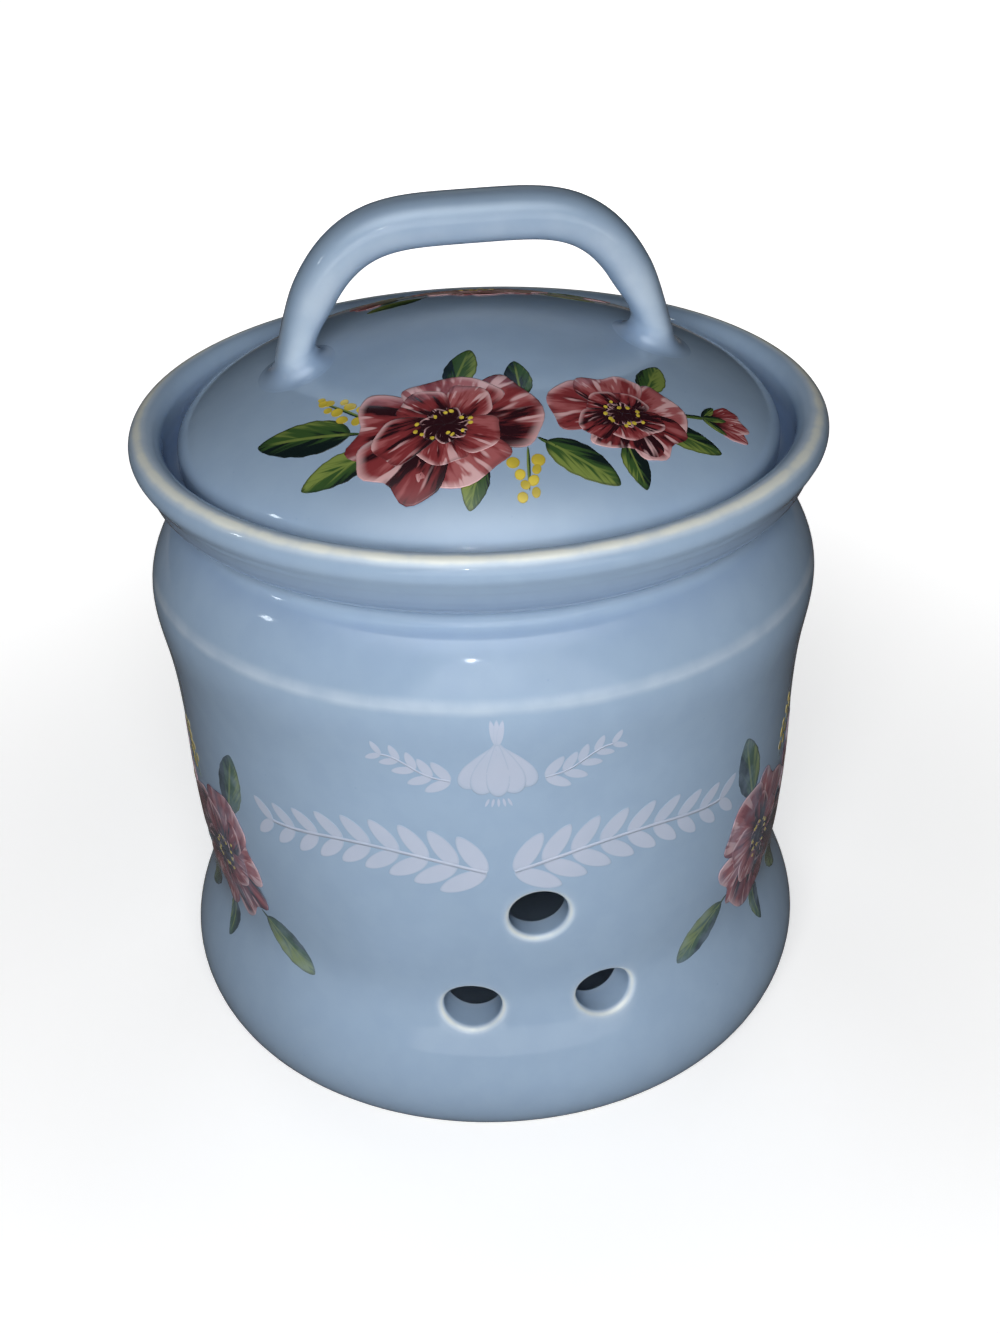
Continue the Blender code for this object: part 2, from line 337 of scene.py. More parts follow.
def between(start, end, shares):
    """Points that lie these shares of the way across and up from start to end."""
    return [(mix(start[0], end[0], across), mix(start[1], end[1], up)) for across, up in shares]


def rolled_rim(pot):
    """The middle of the rim's roll, and the angle in degrees at which the outside runs into it."""
    middle = (pot.rim_radius - pot.roll_radius, pot.height - pot.roll_radius)
    return middle, math.degrees(-math.asin(ROLL_START))


def ledge_corner(pot):
    """The middle of the round corner where the ledge meets the rim."""
    ledge, gallery_radius, _ = gallery(pot)
    return gallery_radius - pot.gallery_corner, ledge + pot.gallery_corner


def pot_outside(pot, spacing):
    """The pot's outside from its foot up to the roll of the rim."""
    foot = (pot.foot_radius, 0.0)
    base = (pot.base_radius, pot.base_height)
    waist = (pot.waist_radius, pot.waist_height)
    neck = (gallery(pot)[2] + pot.wall, pot.height - pot.rim_height)
    shoulder = (pot.shoulder_radius, neck[1] - pot.neck_drop)
    roll, roll_start = rolled_rim(pot)
    points = [
        foot,
        *between(foot, base, FOOT_CURVE_SHARES),
        base,
        *between(base, waist, WAIST_CURVE_SHARES),
        waist,
        *between(waist, shoulder, SIDE_CURVE_SHARES),
        shoulder,
        *between(shoulder, neck, NECK_CURVE_SHARES),
        neck,
        *arc(ledge_corner(pot), pot.gallery_corner + pot.flange_wall, *FLANGE_TURN, 1),
        arc(roll, pot.roll_radius, roll_start, roll_start, 1)[0],
    ]
    direction = (ROLL_START, math.sqrt(1 - ROLL_START**2))
    return even_curve(points, direction, spacing)


def pot_profile(pot):
    """The pot's outline, from the middle of its floor over the rim to the middle of its base."""
    ledge, _, throat = gallery(pot)
    outside = pot_outside(pot, ROW_SPACING)
    inside = shifted(outside, pot.wall)
    floor = pot.foot_recess + pot.floor_thickness
    corner = (pot.base_radius - pot.wall - pot.floor_corner, floor + pot.floor_corner)
    neck_height = pot.height - pot.rim_height
    low, high = corner[1] + WALL_JOIN, neck_height - pot.wall / 2
    inside = [tuple(p) for p in inside if low < p[1] < high]
    ledge_edge = (throat + pot.ledge_edge, ledge - pot.ledge_edge)
    roll, roll_start = rolled_rim(pot)
    inner_foot = pot.foot_radius - pot.foot_ring
    points = [
        (0.0, floor),
        *arc(corner, pot.floor_corner, -90.0, 0.0, CORNER_STEPS),
        *inside,
        (throat, neck_height),
        *arc(ledge_edge, pot.ledge_edge, 180.0, 90.0, LEDGE_STEPS),
        *arc(ledge_corner(pot), pot.gallery_corner, -90.0, 0.0, CORNER_STEPS),
        *arc(roll, pot.roll_radius, 180.0, roll_start, ROLL_STEPS)[:-1],
        *[tuple(p) for p in outside[:0:-1]],
        (pot.foot_radius - FOOT_EDGE_OUTSIDE, 0.0),
        (inner_foot + FOOT_EDGE_INSIDE, 0.0),
        (inner_foot, FOOT_EDGE_RISE),
        (inner_foot - pot.foot_recess, pot.foot_recess),
        (0.0, pot.foot_recess),
    ]
    return np.array(filled(points, ROW_SPACING))


def dome_height(lid, pot, radius):
    """The height of the lid's outside at this radius: a blunt cone that rounds over at its edge."""
    lid_radius = gallery(pot)[1] - lid.clearance
    edge_height = gallery(pot)[0] + lid.seat_gap + 2 * lid.edge_radius
    part = np.minimum(radius / lid_radius, 1.0)
    fall = (np.hypot(part, lid.nose) - lid.nose) / (np.hypot(1.0, lid.nose) - lid.nose)
    return edge_height + lid.dome_rise * np.maximum(1 - fall, 0.0) ** lid.edge_power


def lid_profile(lid, pot):
    """The lid's outline from the middle underneath, over the skirt and the edge, to the dome's top."""
    ledge, gallery_radius, throat = gallery(pot)
    lid_radius = gallery_radius - lid.clearance
    seat = ledge + lid.seat_gap
    edge = (lid_radius - lid.edge_radius, seat + lid.edge_radius)
    skirt = throat - lid.skirt_clearance
    inner = skirt - lid.skirt_thickness
    bottom = seat - lid.skirt_depth + lid.skirt_edge
    radii = lid_radius * np.sin(np.linspace(0.0, math.pi / 2, DOME_POINTS))
    dome = np.stack([radii, dome_height(lid, pot, radii)], axis=1)
    under = shifted(dome[:-DOME_RIM_POINTS], -lid.shell)
    under = [tuple(p) for p in under[1:] if p[0] < inner - UNDER_END * lid.skirt_edge]
    corner_radius = UNDER_CORNER * lid.skirt_edge
    corner = (inner - corner_radius, under[-1][1] - UNDER_DROP - corner_radius)
    points = [
        (0.0, dome[0][1] - lid.shell),
        *under,
        *arc(corner, corner_radius, UNDER_CORNER_START, 0.0, SKIRT_STEPS),
        *arc((inner + lid.skirt_edge, bottom), lid.skirt_edge, 180.0, 270.0, SKIRT_STEPS),
        *arc((skirt - lid.skirt_edge, bottom), lid.skirt_edge, -90.0, 0.0, SKIRT_STEPS),
        (skirt, seat - SEAT_CHAMFER),
        (skirt + SEAT_CHAMFER, seat),
        *arc(edge, lid.edge_radius, -90.0, 0.0, LID_EDGE_STEPS),
        *[tuple(p) for p in dome[-2::-1]],
    ]
    return np.array(filled(points, DOME_SPACING))


# Meshes


def placed(name, data):
    """A new object with this data, in the scene."""
    created = bpy.data.objects.new(name, data)
    bpy.context.scene.collection.objects.link(created)
    return created


def smooth_object(name, vertices, faces, marks=None):
    """A smooth mesh object; marks are named numbers on its vertices."""
    mesh = bpy.data.meshes.new(name)
    mesh.from_pydata(np.asarray(vertices).tolist(), [], faces)
    for mark, values in (marks or {}).items():
        attribute = mesh.attributes.new(mark, "FLOAT", "POINT")
        attribute.data.foreach_set("value", np.asarray(values, dtype=np.float32))
    mesh.shade_smooth()
    return placed(name, mesh)


def point_outwards(mesh):
    """Turns the faces of a closed mesh so that they all point out."""
    work = bmesh.new()
    work.from_mesh(mesh)
    bmesh.ops.recalc_face_normals(work, faces=work.faces)
    work.to_mesh(mesh)
    work.free()


def declare(piece, body, slot, *nodes):
    """Hangs the piece on its body and hides the nodes it stands for; the slot that names its finish is
    not used.
    """
    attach(piece, body)
    if nodes:
        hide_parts(*nodes)


ON_ROLL = 1.05
# The roll's pale band is glaze thinning over the edge plus a painted highlight where the rim faces the
# light.
ROLL_BREAK_AND_HIGHLIGHT_AT, ROLL_BREAK_AND_HIGHLIGHT_SPREAD = 66.0, 26.0
SHOULDER_THIN, SHOULDER_THIN_RISE, SHOULDER_THIN_SPREAD = 0.36, 1.2 * MM, 1.3 * MM
LEDGE_THIN, LEDGE_THIN_SPREAD = 0.7, 1.6 * MM
FOOT_THIN, FOOT_THIN_SPREAD = 0.8, 1.1 * MM
GALLERY_DEEP, GALLERY_DEEP_SPREAD = 0.9, 3.0 * MM
# Darker blue round the neck under the rim: glaze that gathers there plus painted shade.
NECK_DEEP_AND_SHADE, NECK_DEEP_AND_SHADE_RISE, NECK_DEEP_AND_SHADE_SPREAD = 0.35, 1.0 * MM, 4.0 * MM


def glaze_marks(pot, profile):
    """How far the glaze thins and how deep it gathers along the pot's outline; the roll also gets a
    painted highlight and the neck painted shade.
    """
    radius, height = profile.T
    roll, _ = rolled_rim(pot)
    ledge, gallery_radius, throat = gallery(pot)
    neck = pot.height - pot.rim_height
    shoulder = neck - pot.neck_drop + SHOULDER_THIN_RISE
    on_roll = np.hypot(radius - roll[0], height - roll[1]) < pot.roll_radius * ON_ROLL
    angle = np.degrees(np.arctan2(height - roll[1], radius - roll[0]))
    outside = radius > pot.foot_radius
    wall = outside * (radius > throat + pot.wall)
    foot = radius > pot.foot_radius - pot.foot_ring
    # Pale band round the roll: thinning glaze plus painted highlight.
    thin = np.where(on_roll, bell(angle, ROLL_BREAK_AND_HIGHLIGHT_AT, ROLL_BREAK_AND_HIGHLIGHT_SPREAD), 0.0)
    thin += SHOULDER_THIN * wall * bell(height, shoulder, SHOULDER_THIN_SPREAD)
    thin += LEDGE_THIN * bell(np.hypot(radius - throat, height - ledge), 0.0, LEDGE_THIN_SPREAD)
    thin += FOOT_THIN * foot * bell(height, 0.0, FOOT_THIN_SPREAD)
    corner = np.hypot(radius - gallery_radius, height - ledge)
    deep = GALLERY_DEEP * bell(corner, 0.0, GALLERY_DEEP_SPREAD)
    # Painted shade round the neck under the rim, added to the gathered glaze.
    deep += NECK_DEEP_AND_SHADE * outside * bell(height, neck + NECK_DEEP_AND_SHADE_RISE, NECK_DEEP_AND_SHADE_SPREAD)
    return np.clip(thin, 0.0, 1.0), np.clip(deep, 0.0, 1.0)


class TurnedGrid:
    """Vertices and faces of a turned outline, with room for the vents that are let into it."""

    def __init__(self, profile, columns):
        self.profile = profile
        self.columns = columns
        angles = 2 * math.pi * np.arange(columns) / columns
        rings = profile[1:-1]
        around = np.stack([np.cos(angles), np.sin(angles)], axis=1)
        flat = rings[:, None, 0, None] * around[None]
        heights = np.broadcast_to(rings[:, None, 1, None], (*flat.shape[:2], 1))
        body = np.concatenate([flat, heights], axis=2).reshape(-1, 3)
        first, last = (0.0, 0.0, profile[0][1]), (0.0, 0.0, profile[-1][1])
        self.vertices = [first, *map(tuple, body), last]
        self.taken = set()
        self.extra_faces = []

    def index(self, row, column):
        """The vertex at this row of the outline and this column round it."""
        if row == 0:
            return 0
        if row == len(self.profile) - 1:
            return 1 + (len(self.profile) - 2) * self.columns
        return 1 + (row - 1) * self.columns + column % self.columns

    def faces(self):
        """Faces that point out of the clay: quads, with a fan at each pole."""
        made = list(self.extra_faces)
        for row in range(len(self.profile) - 1):
            for column in range(self.columns):
                if (row, column) in self.taken:
                    continue
                corners = [
                    self.index(row, column),
                    self.index(row + 1, column),
                    self.index(row + 1, column + 1),
                    self.index(row, column + 1),
                ]
                made.append(tuple(dict.fromkeys(corners)))
        return made


def vent_frame(angle):
    """The ways to the right, out and up at a vent that lies this far round from the front."""
    out = np.array([math.sin(angle), -math.cos(angle), 0.0])
    right = np.array([math.cos(angle), math.sin(angle), 0.0])
    return right, out, np.array([0.0, 0.0, 1.0])


def block_border(grid, rows, height, angle, half):
    """Takes a square of cells out of the grid and gives its border, anticlockwise from outside."""
    right = vent_frame(angle)[0]
    heights = grid.profile[rows, 1]
    middle = rows[int(np.argmin(np.abs(heights - height)))]
    centre = round((angle - math.pi / 2) % (2 * math.pi) / (2 * math.pi) * grid.columns)
    low_row, low_column = middle - half, centre - half
    for row in range(low_row, low_row + 2 * half):
        for column in range(low_column, low_column + 2 * half):
            grid.taken.add((row, column % grid.columns))
    border = set()
    for step in range(2 * half + 1):
        for row, column in ((0, step), (2 * half, step), (step, 0), (step, 2 * half)):
            border.add(grid.index(low_row + row, low_column + column))
    flat = {}
    for vertex in border:
        place = np.array(grid.vertices[vertex])
        flat[vertex] = (float(place @ right), float(place[2] - height))
    order = sorted(border, key=lambda v: math.atan2(flat[v][1], flat[v][0]))
    return order, np.array([flat[v] for v in order])


VENT_BLOCK = 7
OUTER_PARTS, OUTER_THIN = (0.4, 0.75), 0.12
LIP_RINGS, LIP_THIN, LIP_THIN_POWER = 9, 0.68, 2.2
LIP_EDGE_THIN, LIP_EDGE_THIN_POWER = 0.15, 4
BORE_PARTS = (0.3, 0.65)
HEEL_RINGS, HEEL_THIN = 6, 0.2
COLLAR_PARTS = (0.25, 0.5, 0.75)


def cut_vent(grid, pot, height, angle, squash, collar, wall_rows, marks):
    """Lets a vent into the grid: its rings run from the outside, over a soft lip, to the inside."""
    right, out, up = vent_frame(angle)
    outer, outer_flat = block_border(grid, wall_rows["outer"], height, angle, VENT_BLOCK)
    inner, inner_flat = block_border(grid, wall_rows["inner"], height, angle, VENT_BLOCK)
    turns = np.arctan2(outer_flat[:, 1], outer_flat[:, 0])
    circle = np.stack([np.cos(turns), squash * np.sin(turns)], axis=1)
    sides = {}
    for name, rows in wall_rows.items():
        line = grid.profile[rows]
        sides[name] = line[np.argsort(line[:, 1])]

    def on_wall(side, flat, inset):
        """Places in the vent's plane, carried out to the wall and then moved in by the inset."""
        radius = np.interp(height + flat[:, 1], sides[side][:, 1], sides[side][:, 0])
        depth = np.sqrt(radius**2 - flat[:, 0] ** 2) + inset
        return depth[:, None] * out + flat[:, :1] * right + (height + flat[:, 1:]) * up

    rings = []
    lip = circle * (pot.vent_radius + pot.vent_lip)
    for part in OUTER_PARTS:
        rings.append((on_wall("outer", mix(outer_flat, lip, part), 0.0), OUTER_THIN * part**2))
    for slope in np.radians(np.linspace(0.0, 90.0, LIP_RINGS)):
        flat = circle * (pot.vent_radius + pot.vent_lip * (1 - math.sin(slope)))
        strength = LIP_THIN * math.sin(2 * slope) ** LIP_THIN_POWER
        strength += LIP_EDGE_THIN * math.cos(slope) ** LIP_EDGE_THIN_POWER
        rings.append((on_wall("outer", flat, -pot.vent_lip * (1 - math.cos(slope))), strength))
    bore = circle * pot.vent_radius
    near = on_wall("outer", bore, -pot.vent_lip)
    far = on_wall("inner", bore, pot.vent_heel - collar)
    for part in BORE_PARTS:
        rings.append((mix(near, far, part), 0.0))
    for slope in np.radians(np.linspace(90.0, 0.0, HEEL_RINGS)):
        flat = circle * (pot.vent_radius + pot.vent_heel * (1 - math.sin(slope)))
        inset = pot.vent_heel * (1 - math.cos(slope)) - collar
        rings.append((on_wall("inner", flat, inset), HEEL_THIN))
    heel = circle * (pot.vent_radius + pot.vent_heel)
    for part in COLLAR_PARTS:
        rings.append((on_wall("inner", mix(heel, inner_flat, part), -collar * eased(part)), 0.0))

    loops = [outer]
    for places, strength in rings:
        start = len(grid.vertices)
        grid.vertices += [tuple(p) for p in places]
        marks["glaze_thin"] += [strength] * len(places)
        marks["glaze_deep"] += [0.0] * len(places)
        loops.append(list(range(start, start + len(places))))
    loops.append(inner)
    for before, after in zip(loops, loops[1:]):
        for i in range(len(outer)):
            j = (i + 1) % len(outer)
            grid.extra_faces.append((before[i], before[j], after[j], after[i]))


SIDE_TOP = 3


def make_pot_mesh(pot):
    """The pot with its three vents, as one closed mesh."""
    profile = pot_profile(pot)
    grid = TurnedGrid(profile, pot.columns)
    thin, deep = glaze_marks(pot, profile)
    marks = {}
    for name, values in (("glaze_thin", thin), ("glaze_deep", deep)):
        marks[name] = [values[0], *np.repeat(values[1:-1], pot.columns), values[-1]]
    side_top = pot.height - pot.gallery_depth * SIDE_TOP
    side = (profile[:, 1] > pot.base_height) & (profile[:, 1] < side_top)
    top = int(np.argmax(profile[:, 1]))
    rows = np.arange(len(profile))
    near_wall = side & (profile[:, 0] > pot.waist_radius - 2 * pot.wall)
    wall_rows = {"outer": rows[near_wall & (rows > top)], "inner": rows[near_wall & (rows < top)]}
    upper = (pot.vent_upper_squash, pot.vent_upper_collar)
    lower = (pot.vent_lower_squash, pot.vent_lower_collar)
    for height, angle, form in (
        (pot.vent_upper_height, 0.0, upper),
        (pot.vent_lower_height, -pot.vent_lower_angle, lower),
        (pot.vent_lower_height, pot.vent_lower_angle, lower),
    ):
        cut_vent(grid, pot, height, angle, *form, wall_rows, marks)
    return smooth_object("stoneware_pot", grid.vertices, grid.faces(), marks)


ARCH_SAMPLES = 721
STRAP_SPACING = 0.8 * MM
SECTION_POINTS = 56
FOOT_RINGS, FILLET_RINGS = 14, 11
FILLET_RUNOUT, FILLET_SINK, CAP_SINK = 0.3 * MM, 0.12 * MM, 1.5 * MM
# Painted highlight down the front of the handle's legs, put in as pale glaze.
STRAP_HIGHLIGHT, STRAP_HIGHLIGHT_POWER = 0.5, 3
STRAP_HIGHLIGHT_RISE, STRAP_HIGHLIGHT_FALL, STRAP_HIGHLIGHT_TOP = 4 * MM, 12 * MM, 0.3
FILLET_DEEP, FILLET_DEEP_RISE, FILLET_DEEP_SPREAD = 0.3, 1.2 * MM, 1.6 * MM


def strap_line(handle, lid, pot):
    """The middle of the strap between the two fillets, in even steps, as (across, height)."""
    root = float(dome_height(lid, pot, handle.half_span)) - handle.root_depth
    top = HANDLE_HIGH.z - handle.thickness / 2
    angles = np.linspace(0.0, math.pi, ARCH_SAMPLES)
    across = handle.half_span * rounded(np.cos(angles), handle.side_power)
    heights = mix(root, top, np.abs(np.sin(angles)) ** handle.rise_power)
    clear = heights > dome_height(lid, pot, np.abs(across)) + handle.fillet
    return evenly(np.stack([across[clear], heights[clear]], axis=1), STRAP_SPACING)


def strap_section(handle, steps):
    """The strap's section (back to front, in to out) and the way out at each of its points."""
    angles = 2 * math.pi * np.arange(steps) / steps
    power = 2 / handle.squareness
    across = handle.width / 2 * rounded(np.cos(angles), power)
    through = handle.thickness / 2 * rounded(np.sin(angles), power)
    points = np.stack([across, through], axis=1)
    along = np.roll(points, -1, axis=0) - np.roll(points, 1, axis=0)
    out = np.stack([along[:, 1], -along[:, 0]], axis=1)
    return points, out / np.linalg.norm(out, axis=1)[:, None]


def strap_marks(vertices, handle, lid, pot, top):
    """A painted highlight, in pale glaze, down the front of the legs, and glaze that gathers a little
    over the fillets.
    """
    above = vertices[:, 2] - dome_height(lid, pot, np.hypot(vertices[:, 0], vertices[:, 1]))
    front = np.clip(-vertices[:, 1] / (handle.width / 2), 0.0, 1.0)
    below_top = np.clip((top - vertices[:, 2]) / STRAP_HIGHLIGHT_FALL, 0.0, 1.0)
    leg = np.clip(above / STRAP_HIGHLIGHT_RISE, 0.0, 1.0) * mix(STRAP_HIGHLIGHT_TOP, 1.0, below_top)
    return {
        # Painted highlight on the front of the legs; the fillets get gathered glaze.
        "glaze_thin": STRAP_HIGHLIGHT * front**STRAP_HIGHLIGHT_POWER * leg,
        "glaze_deep": FILLET_DEEP * bell(above, FILLET_DEEP_RISE, FILLET_DEEP_SPREAD),
    }


def make_handle_mesh(handle, lid, pot):
    """The strap swept along its arch; at each foot a fillet of slip runs out onto the dome."""
    line = strap_line(handle, lid, pot)
    along = np.gradient(line, axis=0)
    along /= np.linalg.norm(along, axis=1)[:, None]
    section, section_out = strap_section(handle, SECTION_POINTS)
    foot_height = float(dome_height(lid, pot, handle.half_span))
    rise = np.clip((line[:, 1] - foot_height) / (line[:, 1].max() - foot_height), 0.0, 1.0)
    scale = mix(handle.leg, 1.0, rise**2)

    def lifted(flat):
        """The dome's height under these places."""
        return dome_height(lid, pot, np.hypot(flat[:, 0], flat[:, 1]))

    rings = []
    for centre, direction, size in zip(line, along, scale):
        out = np.array([direction[1], -direction[0]])
        x = centre[0] + section[:, 1] * size * out[0]
        z = centre[1] + section[:, 1] * size * out[1]
        rings.append(np.stack([x, section[:, 0] * size, z], axis=1))
    rings = np.array(rings)
    steps = np.arange(len(rings))
    for end, order in ((0, steps), (-1, steps[::-1])):
        wanted = lifted(rings[end][:, :2]) + handle.fillet
        change = wanted - rings[end][:, 2]
        fade = eased(np.clip(order / FOOT_RINGS, 0.0, 1.0))
        rings[:, :, 2] += fade[:, None] * change[None]

    def foot(ring, side):
        """Rings that turn from the leg's side onto the dome, then close under its skin."""
        way = np.stack([section_out[:, 1] * side, section_out[:, 0]], axis=1)
        made = []
        for slope in np.radians(np.linspace(0.0, 90.0, FILLET_RINGS))[1:]:
            flat = ring[:, :2] + way * handle.fillet * (1 - math.cos(slope))
            height = lifted(flat) + handle.fillet * (1 - math.sin(slope))
            made.append(np.column_stack([flat, height]))
        flat = ring[:, :2] + way * (handle.fillet + FILLET_RUNOUT)
        made.append(np.column_stack([flat, lifted(flat) - FILLET_SINK]))
        return made

    start = foot(rings[0], 1)
    end = foot(rings[-1], -1)
    whole = [*reversed(start), *rings, *end]
    count = len(section)
    vertices = np.concatenate(whole)
    caps = [whole[0].mean(axis=0), whole[-1].mean(axis=0)]
    for cap in caps:
        cap[2] -= CAP_SINK
    faces = []
    for row in range(len(whole) - 1):
        low, high = row * count, (row + 1) * count
        for i in range(count):
            j = (i + 1) % count
            faces.append((low + i, low + j, high + j, high + i))
    last = (len(whole) - 1) * count
    for i in range(count):
        j = (i + 1) % count
        faces.append((len(vertices), j, i))
        faces.append((len(vertices) + 1, last + i, last + j))
    vertices = np.concatenate([vertices, caps])
    marks = strap_marks(vertices, handle, lid, pot, line[:, 1].max())
    created = smooth_object("strap_handle", vertices, faces, marks)
    point_outwards(created.data)
    return created


# Node trees


class Nodes:
    """Adds nodes to a tree, sets their inputs and joins them."""

    def __init__(self, tree):
        self.tree = tree

    def add(self, kind, inputs=None, **settings):
        """A new node; the keys of inputs are socket names or numbers."""
        node = self.tree.nodes.new(kind)
        for name, value in settings.items():
            setattr(node, name, value)
        for key, value in (inputs or {}).items():
            if isinstance(value, bpy.types.NodeSocket):
                self.tree.links.new(value, node.inputs[key])
            else:
                node.inputs[key].default_value = value
        return node

    def math(self, operation, *values):
        """The result of a Math node."""
        return self.add("ShaderNodeMath", dict(enumerate(values)), operation=operation).outputs[0]

    def vector(self, operation, *values):
        """The vector that a Vector Math node gives."""
        node = self.add("ShaderNodeVectorMath", dict(enumerate(values)), operation=operation)
        return node.outputs["Vector"]

    def scaled(self, vector, factor):
        """The vector times a number."""
        inputs = {0: vector, "Scale": factor}
        return self.add("ShaderNodeVectorMath", inputs, operation="SCALE").outputs["Vector"]

    def xyz(self, x, y, z):
        """A vector from three numbers."""
        return self.add("ShaderNodeCombineXYZ", {0: x, 1: y, 2: z}).outputs[0]

    def split(self, vector):
        """The three numbers of a vector."""
        return self.add("ShaderNodeSeparateXYZ", {0: vector}).outputs

    def noise(self, place, scale, detail=2.0):
        """Noise between 0 and 1 at this place."""
        inputs = {"Vector": place, "Scale": scale, "Detail": detail}
        return self.add("ShaderNodeTexNoise", inputs).outputs["Fac"]

    def fit(self, value, low, high, new_low=0.0, new_high=1.0):
        """The value moved smoothly from one range to another."""
        inputs = {0: value, 1: low, 2: high, 3: new_low, 4: new_high}
        node = self.add("ShaderNodeMapRange", inputs, interpolation_type="SMOOTHSTEP")
        return node.outputs[0]

    def blend(self, factor, first, second):
        """Two colours mixed by a factor."""
        node = self.add("ShaderNodeMix", data_type="RGBA")
        for key, value in ((0, factor), (6, first), (7, second)):
            if isinstance(value, bpy.types.NodeSocket):
                self.tree.links.new(value, node.inputs[key])
            elif key == 0:
                node.inputs[key].default_value = value
            else:
                node.inputs[key].default_value = (*value, 1.0)
        return node.outputs[2]

    def kept(self, name, kind="FLOAT"):
        """In a geometry tree, what the mesh keeps under this name."""
        inputs = {"Name": name}
        return self.add("GeometryNodeInputNamedAttribute", inputs, data_type=kind).outputs[0]

    def mark(self, name):
        """A number kept on the mesh."""
        return self.add("ShaderNodeAttribute", attribute_name=name).outputs["Fac"]


def new_tree(name, inputs):
    """A Geometry Nodes tree with these named inputs and one output."""
    tree = bpy.data.node_groups.new(name, "GeometryNodeTree")
    for title, kind in inputs.items():
        tree.interface.new_socket(title, in_out="INPUT", socket_type="NodeSocket" + kind)
    tree.interface.new_socket("Piece", in_out="OUTPUT", socket_type="NodeSocketGeometry")
    nodes = Nodes(tree)
    return tree, nodes, nodes.add("NodeGroupInput").outputs


def finish_tree(nodes, geometry, material):
    """Shades the geometry smooth, realizes it, gives it its material and sends it out."""
    smooth = nodes.add("GeometryNodeSetShadeSmooth", {"Geometry": geometry})
    real = nodes.add("GeometryNodeRealizeInstances", {"Geometry": smooth.outputs[0]})
    inputs = {"Geometry": real.outputs[0], "Material": material}
    finished = nodes.add("GeometryNodeSetMaterial", inputs)
    nodes.add("NodeGroupOutput", {"Piece": finished.outputs[0]})


def grown(piece, tree, settings):
    """Runs a node tree on the piece and keeps what it makes as the piece's plain mesh."""
    modifier = piece.modifiers.new(tree.name, "NODES")
    modifier.node_group = tree
    for item in tree.interface.items_tree:
        if item.item_type == "SOCKET" and item.name in settings:
            modifier[item.identifier] = settings[item.name]
    bpy.context.view_layer.update()
    graph = bpy.context.evaluated_depsgraph_get()
    made = bpy.data.meshes.new_from_object(piece.evaluated_get(graph))
    if not made.polygons:
        raise RuntimeError(f"{piece.name}: its node tree made nothing")
    made.name = piece.name
    piece.modifiers.remove(modifier)
    old = piece.data
    piece.data = made
    bpy.data.meshes.remove(old)
    return piece


def new_material(name):
    """A material with its nodes and its Principled shader."""
    material = bpy.data.materials.new(name)
    material.use_nodes = True
    shader = material.node_tree.nodes["Principled BSDF"]
    return material, Nodes(material.node_tree), shader


# Finishes: a noise is (scale, detail), and a range is (low, high, new low, new high)

PEEL_NOISE, SKIN_NOISE, SHINE_NOISE = (75.0, 1.5), (420.0, 2.0), (38.0, 3.0)
SKIN_SHARE = 0.07
PEEL_DEPTH = 0.028 * MM
SHINE_RANGE = (0.3, 0.7, 0.055, 0.105)
GLAZE_IOR = 1.54


def glaze_surface(nodes, shader, place):
    """The gloss of a fired glaze: an even shine with a soft, wide orange peel."""
    peel = nodes.noise(place, *PEEL_NOISE)
    height = nodes.math("MULTIPLY_ADD", nodes.noise(place, *SKIN_NOISE), SKIN_SHARE, peel)
    inputs = {"Height": height, "Strength": 1.0, "Distance": PEEL_DEPTH}
    bump = nodes.add("ShaderNodeBump", inputs)
    nodes.tree.links.new(bump.outputs[0], shader.inputs["Normal"])
    roughness = nodes.fit(nodes.noise(place, *SHINE_NOISE), *SHINE_RANGE)
    nodes.tree.links.new(roughness, shader.inputs["Roughness"])
    shader.inputs["IOR"].default_value = GLAZE_IOR


BROAD_NOISE, FINE_NOISE, RAGGED_NOISE = (24.0, 3.0), (210.0, 4.0), (160.0, 3.0)
BROAD_RANGE, BROAD_DARK, BROAD_LIGHT = (0.3, 0.7), 0.955, 1.035
FINE_RANGE = (0.35, 0.65, 0.0, 0.07)
FLECK_SCALE, FLECK_RARITY, FLECK_RANGE = 520.0, 0.93, (0.05, 0.16, 0.16, 0.0)
RAGGED_RANGE = (0.25, 0.75, 0.72, 1.12)
PALE_RANGE = (0.03, 0.42, 0.0, 0.85)
CREAM_RANGE = (0.34, 0.95, 0.0, 0.95)
DEEP_SHARE = 0.75


